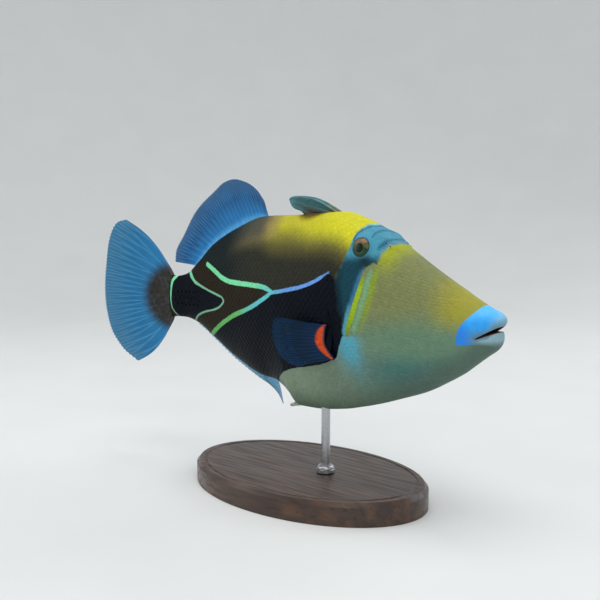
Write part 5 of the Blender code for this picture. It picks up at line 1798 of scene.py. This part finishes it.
for side, side_name in SIDES:
    pectoral = pectoral_fan(f"pectoral_{side_name}", side)
    pectoral_finish.on(pectoral)
    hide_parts(f"pectoral_fin_{side_name}")
    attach(pectoral, "root")

    pad = fin_pad(f"pectoral_pad_{side_name}", side)
    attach(pad, "root")


# Stalk spines
# Three rows of small bony spines on each side of the tail stalk, hooked forwards. Each is set into the
# hide by its foot.
SPINE_HEIGHT = 0.0012
# Each row's height, its first and last spine's t, and its count
SPINE_ROWS = ((0.020, 0.893, 0.968, 6), (0.002, 0.888, 0.974, 7), (-0.016, 0.893, 0.968, 6))
SPINE_FOOT = 0.00058
SPINE_TIP = 0.00008
SPINE_HOOK = 0.0055
SPINE_SUNK = 0.0025
SPINE_TURNS = 12
SPINE_STEPS = 9
SPINE_BLACK = paint(12, 13, 14)
SPINE_BROWN = paint(40, 36, 30)


def hooked_spines(name, feet, ways, hook, foot_radius, tip_radius):
    """Closed tapered spines: each follows its way outwards and bends towards hook by the square of the share
    along it, and its round section narrows from foot to tip, a little faster at first."""
    share = np.linspace(0, 1, SPINE_STEPS)[None, :, None, None]
    angle = np.linspace(0, 2 * math.pi, SPINE_TURNS, endpoint=False)[None, None, :, None]
    feet, ways, hook = (np.asarray(v, float)[:, None, None, :] for v in (feet, ways, hook))
    first = np.cross(ways, [0.0, 0.0, 1.0])
    first /= np.linalg.norm(first, axis=-1, keepdims=True)
    second = np.cross(ways, first)
    second /= np.linalg.norm(second, axis=-1, keepdims=True)
    width = foot_radius + (tip_radius - foot_radius) * share**0.8
    points = feet + ways * share + hook * share**2
    points = points + width * (np.cos(angle) * first + np.sin(angle) * second)
    count = points.shape[0]
    ends = np.concatenate([feet[:, 0], (feet + ways + hook)[:, 0]], 1)
    points = np.concatenate([points.reshape(count, -1, 3), ends], 1)
    first_point = np.arange(count)[:, None, None] * points.shape[1]
    quads = first_point + grid_quads(SPINE_STEPS, SPINE_TURNS, rings=True)
    return mesh_piece(name, points, quads, first_point + end_fans(SPINE_STEPS, SPINE_TURNS))


bone = Finish("spine_bone", 0.35, Specular_IOR_Level=0.2, Coat_Weight=0.05)
bone_noise = bone.noise(bone.places(), 1600.0, 3.0)
bone.textured(bone_noise, (0.28, 0.45), 0.00004, 0.5)
bone.join(Base_Color=bone.mixed(bone_noise, SPINE_BLACK, SPINE_BROWN))
spine_t = np.concatenate([np.linspace(first, last, count) for _, first, last, count in SPINE_ROWS])
spine_z = np.concatenate([np.full(count, z) for z, _, _, count in SPINE_ROWS])
for side, side_name in SIDES:
    foot = flank(spine_t, spine_z, side)
    inner = foot - np.array([0, side * SPINE_SUNK, 0])
    tips = foot + np.array([0.0, side * SPINE_HEIGHT / STANDARD_LENGTH, 0.0])
    way = placed(tips) - placed(inner)
    hook = placed(tips - np.array([SPINE_HOOK, 0, 0])) - placed(tips)
    spines = hooked_spines(f"stalk_spines_{side_name}", placed(inner), way, hook, SPINE_FOOT, SPINE_TIP)
    bone.on(spines)
    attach(spines, "root")


# Pelvic spine
# A blunt, rough stub of pale horn at the rear end of the pelvis, with rings of short barbs. It is let
# into the belly.
PELVIC_ROOT = (0.548, -0.236)
PELVIC_TIP = (0.582, -0.246)
PELVIC_RADII = (0.0014, 0.0006)
BARB_RADII = (0.00042, 0.00006)
BARB_RINGS, BARBS_ROUND = 6, 4
# A barb's height at the stub's foot and how much less it is at the tip, and its slant and hook as shares
# of the stub's length
BARB_HEIGHT, BARB_LOSS = 0.0014, 0.0005
BARB_SLANT, BARB_HOOK = 0.03, 0.09
STUB_HOOK = (0.0, 0.0, -0.0002)

pelvic_foot = placed([PELVIC_ROOT[0], 0.0, PELVIC_ROOT[1]])
pelvic_way = placed([PELVIC_TIP[0], 0.0, PELVIC_TIP[1]]) - pelvic_foot
barb_share = np.repeat(np.linspace(0.35, 0.92, BARB_RINGS), BARBS_ROUND)
barb_angle = np.radians(20.0) + np.tile(round_angles(BARBS_ROUND), BARB_RINGS)
barb_angle = barb_angle + np.repeat(np.arange(BARB_RINGS) * 0.5, BARBS_ROUND)
barb_foot = pelvic_foot + pelvic_way * barb_share[:, None]
barb_side = np.stack([0 * barb_angle, np.cos(barb_angle), np.sin(barb_angle)], -1)
barb_way = barb_side * (BARB_HEIGHT - BARB_LOSS * barb_share[:, None]) + pelvic_way * BARB_SLANT
barb_hook = np.broadcast_to(pelvic_way * BARB_HOOK, barb_way.shape)
foot_radius, tip_radius = (
    np.append(stub, np.full(len(barb_way), barb))[:, None, None, None]
    for stub, barb in zip(PELVIC_RADII, BARB_RADII)
)
pelvic = hooked_spines(
    "pelvic_stub",
    np.concatenate([[pelvic_foot], barb_foot]),
    np.concatenate([[pelvic_way], barb_way]),
    np.concatenate([[STUB_HOOK], barb_hook]),
    foot_radius,
    tip_radius,
)
horn = Finish("pelvic_horn", 0.5)
horn_noise = horn.noise(horn.places(), 900.0, 4.0)
horn.textured(horn_noise, (0.42, 0.6), 0.00008, 0.6)
horn.join(Base_Color=horn.mixed(horn.ramp(horn_noise), paint(196, 202, 184), paint(140, 150, 134)))
horn.on(pelvic)
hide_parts("pelvic_spine")
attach(pelvic, "root")
